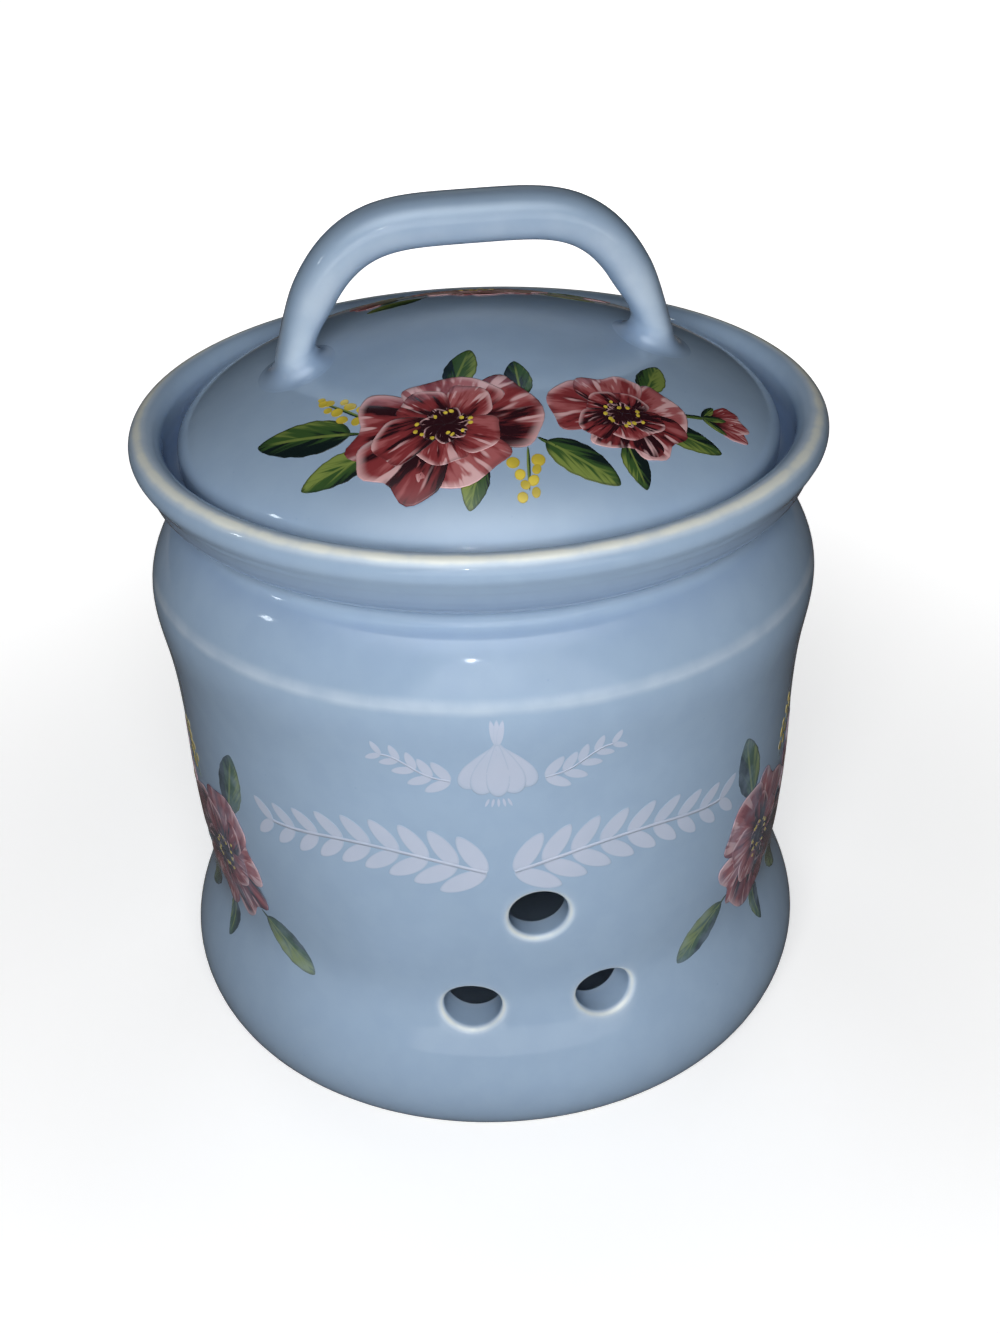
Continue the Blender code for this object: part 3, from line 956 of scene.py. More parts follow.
def glaze_material(finishes):
    """Blue glaze, creamy where it thins over an edge and deep where it gathers; these marks also paint
    a highlight on the rim's roll and down the handle's front, and shade under the rim.
    """
    material, nodes, shader = new_material(GLAZE)
    place = nodes.add("ShaderNodeTexCoord").outputs["Object"]
    blue = Vector(finishes.blue)
    broad = nodes.fit(nodes.noise(place, *BROAD_NOISE), *BROAD_RANGE)
    base = nodes.blend(broad, tuple(blue * BROAD_DARK), tuple(blue * BROAD_LIGHT))
    fine = nodes.fit(nodes.noise(place, *FINE_NOISE), *FINE_RANGE)
    base = nodes.blend(fine, base, finishes.deep)
    fleck = nodes.add("ShaderNodeTexVoronoi", {"Vector": place, "Scale": FLECK_SCALE})
    rare = nodes.math("GREATER_THAN", nodes.split(fleck.outputs["Color"])[0], FLECK_RARITY)
    spot = nodes.fit(fleck.outputs["Distance"], *FLECK_RANGE)
    base = nodes.blend(nodes.math("MULTIPLY", rare, spot), base, finishes.deep)
    ragged = nodes.fit(nodes.noise(place, *RAGGED_NOISE), *RAGGED_RANGE)
    # The thin marks include the painted highlight on the roll and on the handle's front.
    thin = nodes.math("MULTIPLY", nodes.mark("glaze_thin"), ragged)
    pale = nodes.fit(thin, *PALE_RANGE)
    cream = nodes.fit(thin, *CREAM_RANGE)
    # The deep marks include the painted shade round the neck under the rim.
    deep = nodes.math("MULTIPLY", nodes.mark("glaze_deep"), DEEP_SHARE)
    base = nodes.blend(deep, base, finishes.deep)
    base = nodes.blend(cream, nodes.blend(pale, base, finishes.pale), finishes.cream)
    nodes.tree.links.new(base, shader.inputs["Base Color"])
    glaze_surface(nodes, shader, place)
    return material


SAND_NOISE, SAND_RANGE, SAND_DARK, SAND_LIGHT = (900.0, 4.0), (0.3, 0.7), 0.82, 1.06
STAIN_NOISE, STAIN_RANGE, STAIN_DARK = (60.0, 3.0), (0.45, 0.8, 0.0, 0.5), 0.6
SAND_DEPTH, CLAY_ROUGHNESS = 0.05 * MM, 0.88


def clay_material(finishes):
    """Bare stoneware on the foot ring: matt, sandy and a little stained."""
    material, nodes, shader = new_material("foot_clay")
    place = nodes.add("ShaderNodeTexCoord").outputs["Object"]
    clay = Vector(finishes.clay)
    grain = nodes.fit(nodes.noise(place, *SAND_NOISE), *SAND_RANGE)
    base = nodes.blend(grain, tuple(clay * SAND_DARK), tuple(clay * SAND_LIGHT))
    stain = nodes.fit(nodes.noise(place, *STAIN_NOISE), *STAIN_RANGE)
    base = nodes.blend(stain, base, tuple(clay * STAIN_DARK))
    nodes.tree.links.new(base, shader.inputs["Base Color"])
    bump = nodes.add("ShaderNodeBump", {"Height": grain, "Distance": SAND_DEPTH})
    nodes.tree.links.new(bump.outputs[0], shader.inputs["Normal"])
    shader.inputs["Roughness"].default_value = CLAY_ROUGHNESS
    return material


def flat_place(nodes):
    """How far across and along its flat shape a point lies, from the shape's own UV map."""
    across, along, _ = nodes.split(nodes.add("ShaderNodeUVMap", uv_map="UVMap").outputs[0])
    return across, along


FAN_START, FAN_STROKES, FAN_REACH = 0.35, 6.0, 1.1
STROKE_NOISE, FINE_STROKE_NOISE, FINE_STROKES = (1.0, 3.0), (1.0, 2.0), 3.1
STROKE_LEVEL, ALONG_LEVEL, FINE_LEVEL = 2.3, 0.62, 0.7
RED_RANGE, ROSE_RANGE = (1.38, 1.72), (1.80, 2.15)
BLUSH_RANGE = (2.30, 2.52, 0.0, 0.95)
GLEAM_NOISE, GLEAM_STROKES, GLEAM_SHIFT = (1.0, 1.0), 1.7, (17.0, 3.0, 0.0)
GLEAM_RANGE, GLEAM_ALONG = (0.60, 0.68), (0.4, 0.75, 0.0, 0.9)
HEART_STROKES, HEART_RANGE = -0.5, (-0.08, 0.28, 0.95, 0.0)
LIGHT_STROKES, LIGHT_RANGE, DARK_LIMIT = 0.9, (0.85, 1.15), 0.45
EDGE_RANGE, EDGE_ALONG = (0.78, 1.0), (0.35, 0.7, 0.0, 0.8)


def petal_paint(nodes, finishes, across, along, seed, tone):
    """Brush strokes that fan out from a dark heart to a pale edge."""
    aside = nodes.math("SUBTRACT", across, 0.5)
    fan = nodes.math("DIVIDE", aside, nodes.math("ADD", along, FAN_START))
    reach = nodes.math("MULTIPLY", along, FAN_REACH)
    place = nodes.xyz(nodes.math("MULTIPLY", fan, FAN_STROKES), reach, seed)
    stroke = nodes.noise(place, *STROKE_NOISE)
    fine = nodes.noise(nodes.scaled(place, FINE_STROKES), *FINE_STROKE_NOISE)
    level = nodes.math("MULTIPLY", along, ALONG_LEVEL)
    level = nodes.math("MULTIPLY_ADD", stroke, STROKE_LEVEL, level)
    level = nodes.math("ADD", nodes.math("MULTIPLY_ADD", fine, FINE_LEVEL, level), tone)
    paint = nodes.blend(nodes.fit(level, *RED_RANGE), finishes.maroon, finishes.red)
    paint = nodes.blend(nodes.fit(level, *ROSE_RANGE), paint, finishes.rose)
    paint = nodes.blend(nodes.fit(level, *BLUSH_RANGE), paint, finishes.blush)
    gleam_place = nodes.vector("ADD", nodes.scaled(place, GLEAM_STROKES), GLEAM_SHIFT)
    gleam = nodes.fit(nodes.noise(gleam_place, *GLEAM_NOISE), *GLEAM_RANGE)
    gleam = nodes.math("MULTIPLY", gleam, nodes.fit(along, *GLEAM_ALONG))
    paint = nodes.blend(gleam, paint, finishes.blush)
    heart = nodes.math("MULTIPLY_ADD", fine, HEART_STROKES, along)
    paint = nodes.blend(nodes.fit(heart, *HEART_RANGE), paint, finishes.maroon)
    light = nodes.math("ADD", across, nodes.math("MULTIPLY", stroke, LIGHT_STROKES))
    light_side = nodes.fit(light, *LIGHT_RANGE)
    rim = nodes.fit(nodes.mark("rim"), *EDGE_RANGE)
    edge = nodes.math("MULTIPLY", rim, nodes.fit(along, *EDGE_ALONG))
    paint = nodes.blend(nodes.math("MULTIPLY", edge, light_side), paint, finishes.blush)
    dark_side = nodes.math("MULTIPLY", edge, nodes.math("SUBTRACT", DARK_LIMIT, light_side))
    return nodes.blend(dark_side, paint, finishes.maroon)


LEAF_STROKE_NOISE = (1.0, 3.0)
SLANT_ASIDE, SLANT_ALONG, SLANT_SIDE = -9.0, 7.0, 2.0
LEAF_SIDE_LEVEL, LEAF_STROKE_LEVEL, LEAF_ALONG_LEVEL = 0.9, 1.1, 0.15
MOSS_RANGE, LIME_RANGE = (0.35, 0.62), (0.70, 1.0)
RIB_ASIDE, RIB_ALONG = (0.02, 0.05, 0.75, 0.0), (0.95, 0.7)
LEAF_EDGE_RANGE = (0.86, 0.98, 0.0, 0.6)


def leaf_paint(nodes, finishes, across, along, seed, tone):
    """A leaf with a dark half, a light half, slanting strokes and a pale midrib."""
    side = nodes.math("SUBTRACT", across, 0.5)
    away = nodes.math("ABSOLUTE", side)
    slant = nodes.math("MULTIPLY", along, SLANT_ALONG)
    slant = nodes.math("MULTIPLY_ADD", away, SLANT_ASIDE, slant)
    place = nodes.xyz(slant, nodes.math("MULTIPLY", side, SLANT_SIDE), seed)
    stroke = nodes.math("MULTIPLY", nodes.noise(place, *LEAF_STROKE_NOISE), LEAF_STROKE_LEVEL)
    level = nodes.math("MULTIPLY_ADD", side, LEAF_SIDE_LEVEL, stroke)
    level = nodes.math("ADD", level, nodes.math("MULTIPLY_ADD", along, LEAF_ALONG_LEVEL, tone))
    paint = nodes.blend(nodes.fit(level, *MOSS_RANGE), finishes.night, finishes.moss)
    paint = nodes.blend(nodes.fit(level, *LIME_RANGE), paint, finishes.lime)
    rib = nodes.math("MULTIPLY", nodes.fit(away, *RIB_ASIDE), nodes.fit(along, *RIB_ALONG))
    paint = nodes.blend(rib, paint, finishes.lime)
    edge = nodes.fit(nodes.mark("rim"), *LEAF_EDGE_RANGE)
    return nodes.blend(edge, paint, finishes.night)


BERRY_ALONG_LEVEL, BERRY_RANGE, BERRY_DARK, BERRY_LIGHT = 0.6, (0.0, 0.7), 0.72, 1.08
BERRY_EDGE_RANGE, BERRY_EDGE = (0.7, 1.0, 0.0, 0.45), (0.62, 0.5, 0.5)


def berry_paint(nodes, finishes, along, tone):
    """Yellow dabs, a little darker where the brush left its edge."""
    yellow = Vector(finishes.yellow)
    level = nodes.math("ADD", nodes.math("MULTIPLY", along, BERRY_ALONG_LEVEL), tone)
    dark, light = tuple(yellow * BERRY_DARK), tuple(yellow * BERRY_LIGHT)
    paint = nodes.blend(nodes.fit(level, *BERRY_RANGE), dark, light)
    edge = nodes.fit(nodes.mark("rim"), *BERRY_EDGE_RANGE)
    return nodes.blend(edge, paint, tuple(yellow * Vector(BERRY_EDGE)))


LEAF_FROM, BERRY_FROM = 0.5, 1.5
CLOUD_NOISE, CLOUD_RANGE = (260.0, 3.0), (0.35, 0.75, 0.6, 1.4)


def blossom_material(finishes):
    """Painted blossoms, leaves and berries fired under the clear gloss."""
    material, nodes, shader = new_material("painted_blossoms")
    place = nodes.add("ShaderNodeTexCoord").outputs["Object"]
    across, along = flat_place(nodes)
    seed, tone = nodes.mark("seed"), nodes.mark("tone")
    petal = petal_paint(nodes, finishes, across, along, seed, tone)
    leaf = leaf_paint(nodes, finishes, across, along, seed, tone)
    berry = berry_paint(nodes, finishes, along, tone)
    kind = nodes.mark("paint")
    paint = nodes.blend(nodes.math("GREATER_THAN", kind, LEAF_FROM), petal, leaf)
    paint = nodes.blend(nodes.math("GREATER_THAN", kind, BERRY_FROM), paint, berry)
    cloud = nodes.fit(nodes.noise(place, *CLOUD_NOISE), *CLOUD_RANGE)
    wash = nodes.math("MULTIPLY", nodes.mark("wash"), cloud)
    paint = nodes.blend(wash, paint, finishes.blue)
    nodes.tree.links.new(paint, shader.inputs["Base Color"])
    glaze_surface(nodes, shader, place)
    return material


VEIL_NOISE, VEIL_RANGE = (120.0, 3.0), (0.3, 0.75, 0.02, 0.2)
WHITE_EDGE_RANGE = (0.84, 1.0, 0.0, 0.4)


def garland_material(finishes):
    """Thin white, through which a little of the blue glaze shows, most at each motif's edge."""
    material, nodes, shader = new_material("white_garland")
    place = nodes.add("ShaderNodeTexCoord").outputs["Object"]
    thin = nodes.fit(nodes.noise(place, *VEIL_NOISE), *VEIL_RANGE)
    edge = nodes.fit(nodes.mark("rim"), *WHITE_EDGE_RANGE)
    base = nodes.blend(nodes.math("ADD", thin, edge), finishes.white, finishes.blue)
    nodes.tree.links.new(base, shader.inputs["Base Color"])
    glaze_surface(nodes, shader, place)
    return material


# Motifs

MOTIF_RINGS, RING_CROWDING = 5, 2.2
OUTLINE_POINTS = 44
DECAL_THICKNESS = 0.1 * MM


def flat_motif(name, outline, thickness, collection):
    """A thin closed shape with its base at the origin, whose UV map and rim mark follow its form."""
    rings = MOTIF_RINGS
    outline = np.array(outline)
    centre = outline.mean(axis=0)
    count = len(outline)
    flat = [centre]
    rim = [0.0]
    for ring in range(1, rings + 1):
        part = 1 - (1 - ring / rings) ** RING_CROWDING
        flat += list(mix(centre, outline, part))
        rim += [part] * count
    flat = np.array(flat)
    top = np.column_stack([flat, np.zeros(len(flat))])
    bottom = top - (0.0, 0.0, thickness)
    faces = []
    for i in range(count):
        j = (i + 1) % count
        faces.append((0, 1 + i, 1 + j))
        for ring in range(rings - 1):
            low, high = 1 + ring * count, 1 + (ring + 1) * count
            faces.append((low + i, high + i, high + j, low + j))
    shift = len(flat)
    faces += [tuple(shift + v for v in reversed(face)) for face in faces]
    outer = 1 + (rings - 1) * count
    for i in range(count):
        j = (i + 1) % count
        faces.append((outer + j, outer + i, shift + outer + i, shift + outer + j))
    created = smooth_object(name, np.concatenate([top, bottom]), faces, {"rim": rim * 2})
    point_outwards(created.data)
    uvs = created.data.uv_layers.new(name="UVMap").data
    low, high = flat.min(axis=0), flat.max(axis=0)
    for loop, uv in zip(created.data.loops, uvs):
        place = created.data.vertices[loop.vertex_index].co
        uv.uv = [(place[axis] - low[axis]) / (high[axis] - low[axis]) for axis in range(2)]
    bpy.context.scene.collection.objects.unlink(created)
    collection.objects.link(created)
    return created


def way_along(turn):
    """How far along its motif this point of the outline lies: 0 at the base and 1 at the tip."""
    return 0.5 - 0.5 * math.cos(turn)


def dip(turn, depth, width, aside=0.0):
    """A soft notch near the tip."""
    return depth * math.exp(-(((turn - math.pi - aside) / width) ** 2))


def ruffled(turn, depth, waves, phase=0.0):
    """1, with small waves round the outline."""
    return 1 + depth * math.sin(waves * turn + phase)


def widened(along, base, swell, power=1.0):
    """The width, from the base to the tip, as a share of the motif's own."""
    return base + swell * along**power


def pointed(turn, power):
    """Half the width of a leaf that comes to a point at both ends."""
    return abs(math.sin(turn)) ** power


def round_petal(turn):
    """A broad petal with a shallow notch in its edge."""
    along = way_along(turn)
    ruffle = ruffled(turn, depth=0.030 * along, waves=7, phase=0.6)
    width = widened(along, base=0.42, swell=0.80) * ruffle
    notch = dip(turn, depth=0.10, width=0.30)
    return 0.5 * math.sin(turn) * width, along * ruffle - notch


def heart_petal(turn):
    """A petal that widens to two soft lobes."""
    along = way_along(turn)
    ruffle = ruffled(turn, depth=0.05, waves=4)
    width = widened(along, base=0.36, swell=0.98, power=1.2)
    notch = dip(turn, depth=0.20, width=0.34, aside=0.12)
    return 0.5 * math.sin(turn) * width, along * ruffle - notch


LEAN = 0.10


def curled_petal(turn):
    """A narrower petal that leans to one side."""
    along = way_along(turn)
    ruffle = ruffled(turn, depth=0.04 * along, waves=5)
    width = widened(along, base=0.50, swell=0.66) * ruffle
    lean = LEAN * math.sin(math.pi * along)
    return 0.5 * math.sin(turn) * width + lean, along * ruffle


TOOTH_DEPTH, TOOTH_WAVES = 0.085, 7.5


def toothed_leaf(turn):
    """A pointed leaf with round teeth."""
    along = way_along(turn)
    tooth = 1 + TOOTH_DEPTH * abs(math.sin(TOOTH_WAVES * turn)) * math.sin(turn) ** 2
    width = pointed(turn, power=1.25) * widened(along, base=1.22, swell=-0.42) * tooth
    return math.copysign(0.5 * width, math.sin(turn)), along


def smooth_leaf(turn):
    """A plain laurel leaf."""
    along = way_along(turn)
    width = pointed(turn, power=1.2) * widened(along, base=1.1, swell=-0.2)
    return math.copysign(0.5 * width, math.sin(turn)), along


def round_dab(turn):
    """A round dab of paint."""
    return 0.5 * math.sin(turn), way_along(turn)


def clove(turn):
    """A clove with a round foot and a narrow tip."""
    along = way_along(turn)
    width = widened(along, base=1.28, swell=-0.98, power=1.2)
    return 0.5 * math.sin(turn) * width, along


MOTIFS = (round_petal, curled_petal, heart_petal, toothed_leaf, smooth_leaf, round_dab, clove)
PETAL_PAINT, LEAF_PAINT, BERRY_PAINT = 0.0, 1.0, 2.0


def motif_collection():
    """The motifs, in the order that their numbers pick them."""
    collection = bpy.data.collections.new("motifs")
    bpy.context.scene.collection.children.link(collection)
    turns = np.linspace(0.0, 2 * math.pi, OUTLINE_POINTS + 1)[:-1]
    for order, motif in enumerate(MOTIFS):
        outline = [motif(turn) for turn in turns]
        flat_motif(f"motif_{order}", outline, DECAL_THICKNESS, collection)
    return collection


def remove_motifs(collection):
    """Takes the motifs away once the decals are made."""
    for motif in list(collection.objects):
        bpy.data.objects.remove(motif)
    bpy.data.collections.remove(collection)


# The least and the most of what a spray draws at random: turns in degrees, sizes as shares

SEEDS = (0.0, 40.0)
PETAL_SWAY, PETAL_LONG, PETAL_WIDE, PETAL_TONE = (-10, 10), (0.88, 1.08), (0.95, 1.2), (-0.45, 0.35)
INNER_SWAY, INNER_LONG, INNER_WIDE, INNER_TONE = (-12, 12), (0.52, 0.72), (0.46, 0.66), (-0.6, 0.1)
STAMEN_SWAY, STAMEN_REACH, STAMEN_TURN = (-9, 9), (0.15, 0.29), (0, 360)
STAMEN_LONG, STAMEN_WIDE, STAMEN_TONE = (0.7, 1.0), (0.55, 0.8), (-0.3, 0.3)
BUD_TONE, CUP_TONE = (-0.2, 0.15), (-0.1, 0.2)
BERRY_ASIDE, BERRY_SIZE, BERRY_SWAY = (0.8, 1.2), (1.9, 2.7), (-50, 50)
BERRY_WIDE, BERRY_TONE = (0.72, 0.95), (-0.25, 0.35)

STALK_TONE = -0.1
LEAF_STALK, LEAF_STALK_WIDTH, LEAF_START, LEAF_WIDTH = 0.3, 0.8, 0.12, 0.46
OUTER_ORDER, INNER_ORDER = (0, 2, 4, 1, 3), (0, 3, 1, 4, 2)
PETALS, HEART_PETALS, STAMENS = 5, 7, 13
HEART_TURN, HEART_LONG, HEART_WIDE, HEART_TONE = 51, 0.24, 0.2, -0.9
BUD_STALK, BUD_STALK_WIDTH, BUD_START, BUD_PETAL, BUD_WIDTH = 0.62, 0.9, 0.5, 0.62, 0.34
BUD_PETALS = ((-24, 0.92), (24, 0.95), (0, 1.0))
CUP_LEANS, CUP_DROP, CUP_LONG, CUP_WIDE = (-46, 44, 4), 0.6, 0.36, 0.12
TWIG_WIDTH, TWIG_TONE = 0.6, 0.15
BERRY_START, BERRY_SPREAD = 0.18, 0.86
TWIG_ASIDE, TWIG_TAPER, BERRY_TAPER = 1.75, 0.12, 0.03


def pointing(degrees):
    """A step of length 1 this way: 0 is right and 90 is up."""
    turn = math.radians(degrees)
    return Vector((math.cos(turn), math.sin(turn)))


class Spray:
    """The spots where motifs lie, from the bottom layer up; lengths are in millimetres."""

    def __init__(self, seed, wash=0.0):
        self.random = random.Random(seed)
        self.wash = wash
        self.spots = []

    def add(self, motif, paint, place, degrees, long, wide, tone=0.0):
        """One motif with its base at this place, pointing this way: 0 is right and 90 is up."""
        spot = {
            "place": (place[0] * MM, place[1] * MM, 0.0),
            "kind": MOTIFS.index(motif),
            "paint": paint,
            "turn": math.radians(degrees - 90.0),
            "size": (wide * MM, long * MM, 1.0),
            "tone": tone,
            "seed": self.random.uniform(*SEEDS),
            "layer": float(len(self.spots)),
            "wash": self.wash,
        }
        self.spots.append(spot)

    def leaf(self, place, degrees, long, tone=0.0):
        """A toothed leaf on a short stalk."""
        stalk = long * LEAF_STALK
        self.add(smooth_leaf, LEAF_PAINT, place, degrees, stalk, LEAF_STALK_WIDTH, STALK_TONE)
        start = Vector(place) + pointing(degrees) * long * LEAF_START
        self.add(toothed_leaf, LEAF_PAINT, start, degrees, long, long * LEAF_WIDTH, tone)

    def rose(self, place, radius, degrees, squash=1.0, tone=0.0):
        """An open rose: five broad petals, five curled ones, a dark heart and a ring of stamens."""
        draw = self.random.uniform

        def stretched(way):
            """The radius this way, where the rose is seen squashed."""
            turn = math.radians(way)
            return radius * math.hypot(math.cos(turn), squash * math.sin(turn))

        apart = 360 / PETALS
        for step in OUTER_ORDER:
            way = degrees + apart * step + draw(*PETAL_SWAY)
            long = stretched(way) * draw(*PETAL_LONG)
            petal = self.random.choice((round_petal, curled_petal, heart_petal))
            wide = radius * draw(*PETAL_WIDE)
            self.add(petal, PETAL_PAINT, place, way, long, wide, tone + draw(*PETAL_TONE))
        for step in INNER_ORDER:
            way = degrees + apart / 2 + apart * step + draw(*INNER_SWAY)
            long = stretched(way) * draw(*INNER_LONG)
            wide = radius * draw(*INNER_WIDE)
            self.add(curled_petal, PETAL_PAINT, place, way, long, wide, tone + draw(*INNER_TONE))
        long, wide = radius * HEART_LONG, radius * HEART_WIDE
        for step in range(HEART_PETALS):
            way = degrees + HEART_TURN * step
            self.add(curled_petal, PETAL_PAINT, place, way, long, wide, HEART_TONE)
        for step in range(STAMENS):
            way = math.radians(degrees + 360 * step / STAMENS + draw(*STAMEN_SWAY))
            reach = radius * draw(*STAMEN_REACH)
            spot = (place[0] + reach * math.cos(way), place[1] + reach * math.sin(way) * squash)
            drawn = [draw(*limits) for limits in (STAMEN_TURN, STAMEN_LONG, STAMEN_WIDE, STAMEN_TONE)]
            self.add(round_dab, BERRY_PAINT, spot, *drawn)

    def bud(self, place, degrees, long, tone=0.0):
        """A closed bud in its green cup, on a stalk."""
        draw = self.random.uniform
        away = pointing(degrees)
        cup = Vector(place) + away * long * BUD_START
        stalk = long * BUD_STALK
        self.add(smooth_leaf, LEAF_PAINT, place, degrees, stalk, BUD_STALK_WIDTH, STALK_TONE)
        for lean, size in BUD_PETALS:
            way, long_petal, wide = degrees + lean, long * BUD_PETAL * size, long * BUD_WIDTH
            self.add(curled_petal, PETAL_PAINT, cup, way, long_petal, wide, tone + draw(*BUD_TONE))
        start = cup - away * CUP_DROP
        for lean in CUP_LEANS:
            sizes = (long * CUP_LONG, long * CUP_WIDE)
            self.add(smooth_leaf, LEAF_PAINT, start, degrees + lean, *sizes, draw(*CUP_TONE))

    def berries(self, place, degrees, long, count=9):
        """A drooping spray of round yellow berries."""
        draw = self.random.uniform
        self.add(smooth_leaf, LEAF_PAINT, place, degrees, long, TWIG_WIDTH, TWIG_TONE)
        away = pointing(degrees)
        across = Vector((-away.y, away.x))
        for step in range(count):
            along = long * (BERRY_START + BERRY_SPREAD * step / (count - 1))
            side = (TWIG_ASIDE - TWIG_TAPER * step) * (-1) ** step * draw(*BERRY_ASIDE)
            spot = Vector(place) + away * along + across * side
            size = draw(*BERRY_SIZE) * (1 - BERRY_TAPER * step)
            way = degrees + draw(*BERRY_SWAY)
            wide = size * draw(*BERRY_WIDE)
            self.add(round_dab, BERRY_PAINT, spot, way, size, wide, draw(*BERRY_TONE))

    def points(self, name):
        """A mesh with one point for each spot, which keeps what the spot says."""
        mesh = bpy.data.meshes.new(name)
        mesh.from_pydata([spot["place"] for spot in self.spots], [], [])
        for key in ("turn", "tone", "seed", "layer", "wash", "paint"):
            attribute = mesh.attributes.new(key, "FLOAT", "POINT")
            attribute.data.foreach_set("value", [spot[key] for spot in self.spots])
        kinds = mesh.attributes.new("kind", "INT", "POINT")
        kinds.data.foreach_set("value", [spot["kind"] for spot in self.spots])
        sizes = mesh.attributes.new("size", "FLOAT_VECTOR", "POINT")
        for item, spot in zip(sizes.data, self.spots):
            item.vector = spot["size"]
        return placed(name, mesh)


# Geometry trees


def turned_tree():
    """Turns an outline about Z; the outline's points hold a radius in X and a height in Z."""
    inputs = {
        "Outline": "Geometry",
        "Rows": "Int",
        "Columns": "Int",
        "Weld": "Float",
        "Glaze": "Material",
    }
    tree, nodes, given = new_tree("Turned on the wheel", inputs)
    columns = given["Columns"]
    wide = nodes.math("ADD", columns, 1.0)
    grid = nodes.add("GeometryNodeMeshGrid", {"Vertices X": given["Rows"], "Vertices Y": wide})
    index = nodes.add("GeometryNodeInputIndex").outputs[0]
    row = nodes.math("FLOOR", nodes.math("DIVIDE", index, wide))
    column = nodes.math("SUBTRACT", index, nodes.math("MULTIPLY", row, wide))
    angle = nodes.math("MULTIPLY", nodes.math("DIVIDE", column, columns), 2 * math.pi)
    place = nodes.add("GeometryNodeInputPosition").outputs[0]

    def read(kind, value):
        """The outline's own value at this row."""
        inputs = {"Geometry": given["Outline"], "Value": value, "Index": row}
        return nodes.add("GeometryNodeSampleIndex", inputs, data_type=kind).outputs[0]

    radius, _, height = nodes.split(read("FLOAT_VECTOR", place))
    x = nodes.math("MULTIPLY", radius, nodes.math("COSINE", angle))
    y = nodes.math("MULTIPLY", radius, nodes.math("SINE", angle))
    shaped = nodes.add(
        "GeometryNodeSetPosition",
        {"Geometry": grid.outputs["Mesh"], "Position": nodes.xyz(x, y, height)},
    ).outputs[0]
    for name in ("glaze_thin", "glaze_deep"):
        inputs = {"Geometry": shaped, "Name": name, "Value": read("FLOAT", nodes.kept(name))}
        shaped = nodes.add("GeometryNodeStoreNamedAttribute", inputs, data_type="FLOAT").outputs[0]
    inputs = {"Geometry": shaped, "Distance": given["Weld"]}
    welded = nodes.add("GeometryNodeMergeByDistance", inputs)
    finish_tree(nodes, welded.outputs[0], given["Glaze"])
    return tree


def lay_on_surface(nodes, given, shape, round_wall):
    """Lays a flat shape on the surface, at its own height plus the lift and its layer's steps.

    On the lid the shape comes straight down. On the pot its X runs round and its Y runs up the wall.
    """
    x, y, z = nodes.split(nodes.add("GeometryNodeInputPosition").outputs[0])
    if round_wall:
        angle = nodes.math("DIVIDE", x, given["Wall Radius"])
        angle = nodes.math("ADD", angle, given["Wall Angle"])
        back = nodes.math("MULTIPLY", nodes.math("COSINE", angle), -1.0)
        out = nodes.xyz(nodes.math("SINE", angle), back, 0.0)
        start = nodes.vector("ADD", out, nodes.xyz(0.0, 0.0, y))
        ray = nodes.scaled(out, -1.0)
    else:
        start = nodes.xyz(x, y, 1.0)
        ray = (0.0, 0.0, -1.0)
    target = nodes.add("GeometryNodeObjectInfo", {"Object": given["Surface"]}).outputs["Geometry"]
    inputs = {
        "Target Geometry": target,
        "Source Position": start,
        "Ray Direction": ray,
        "Ray Length": 2.0,
    }
    hit = nodes.add("GeometryNodeRaycast", inputs).outputs
    rise = nodes.math("MULTIPLY_ADD", nodes.kept("layer"), given["Layer Step"], given["Lift"])
    rise = nodes.math("ADD", rise, z)
    place = nodes.vector("ADD", hit["Hit Position"], nodes.scaled(hit["Hit Normal"], rise))
    return nodes.add("GeometryNodeSetPosition", {"Geometry": shape, "Position": place}).outputs[0]


SURFACE_INPUTS = {
    "Surface": "Object",
    "Lift": "Float",
    "Layer Step": "Float",
    "Wall Radius": "Float",
    "Wall Angle": "Float",
    "Paint": "Material",
}


def decal_tree(round_wall):
    """Sets a motif on each spot, turned and sized as the spot says, and lays it on the surface."""
    inputs = {"Spots": "Geometry", "Motifs": "Collection", **SURFACE_INPUTS}
    tree, nodes, given = new_tree("Fired decal", inputs)
    motifs = nodes.add(
        "GeometryNodeCollectionInfo",
        {"Collection": given["Motifs"], "Separate Children": True, "Reset Children": True},
    )
    inputs = {
        "Points": given["Spots"],
        "Instance": motifs.outputs[0],
        "Pick Instance": True,
        "Instance Index": nodes.kept("kind", "INT"),
        "Rotation": nodes.xyz(0.0, 0.0, nodes.kept("turn")),
        "Scale": nodes.kept("size", "FLOAT_VECTOR"),
    }
    set_out = nodes.add("GeometryNodeInstanceOnPoints", inputs)
    real = nodes.add("GeometryNodeRealizeInstances", {"Geometry": set_out.outputs[0]})
    shape = lay_on_surface(nodes, given, real.outputs[0], round_wall)
    finish_tree(nodes, shape, given["Paint"])
    return tree


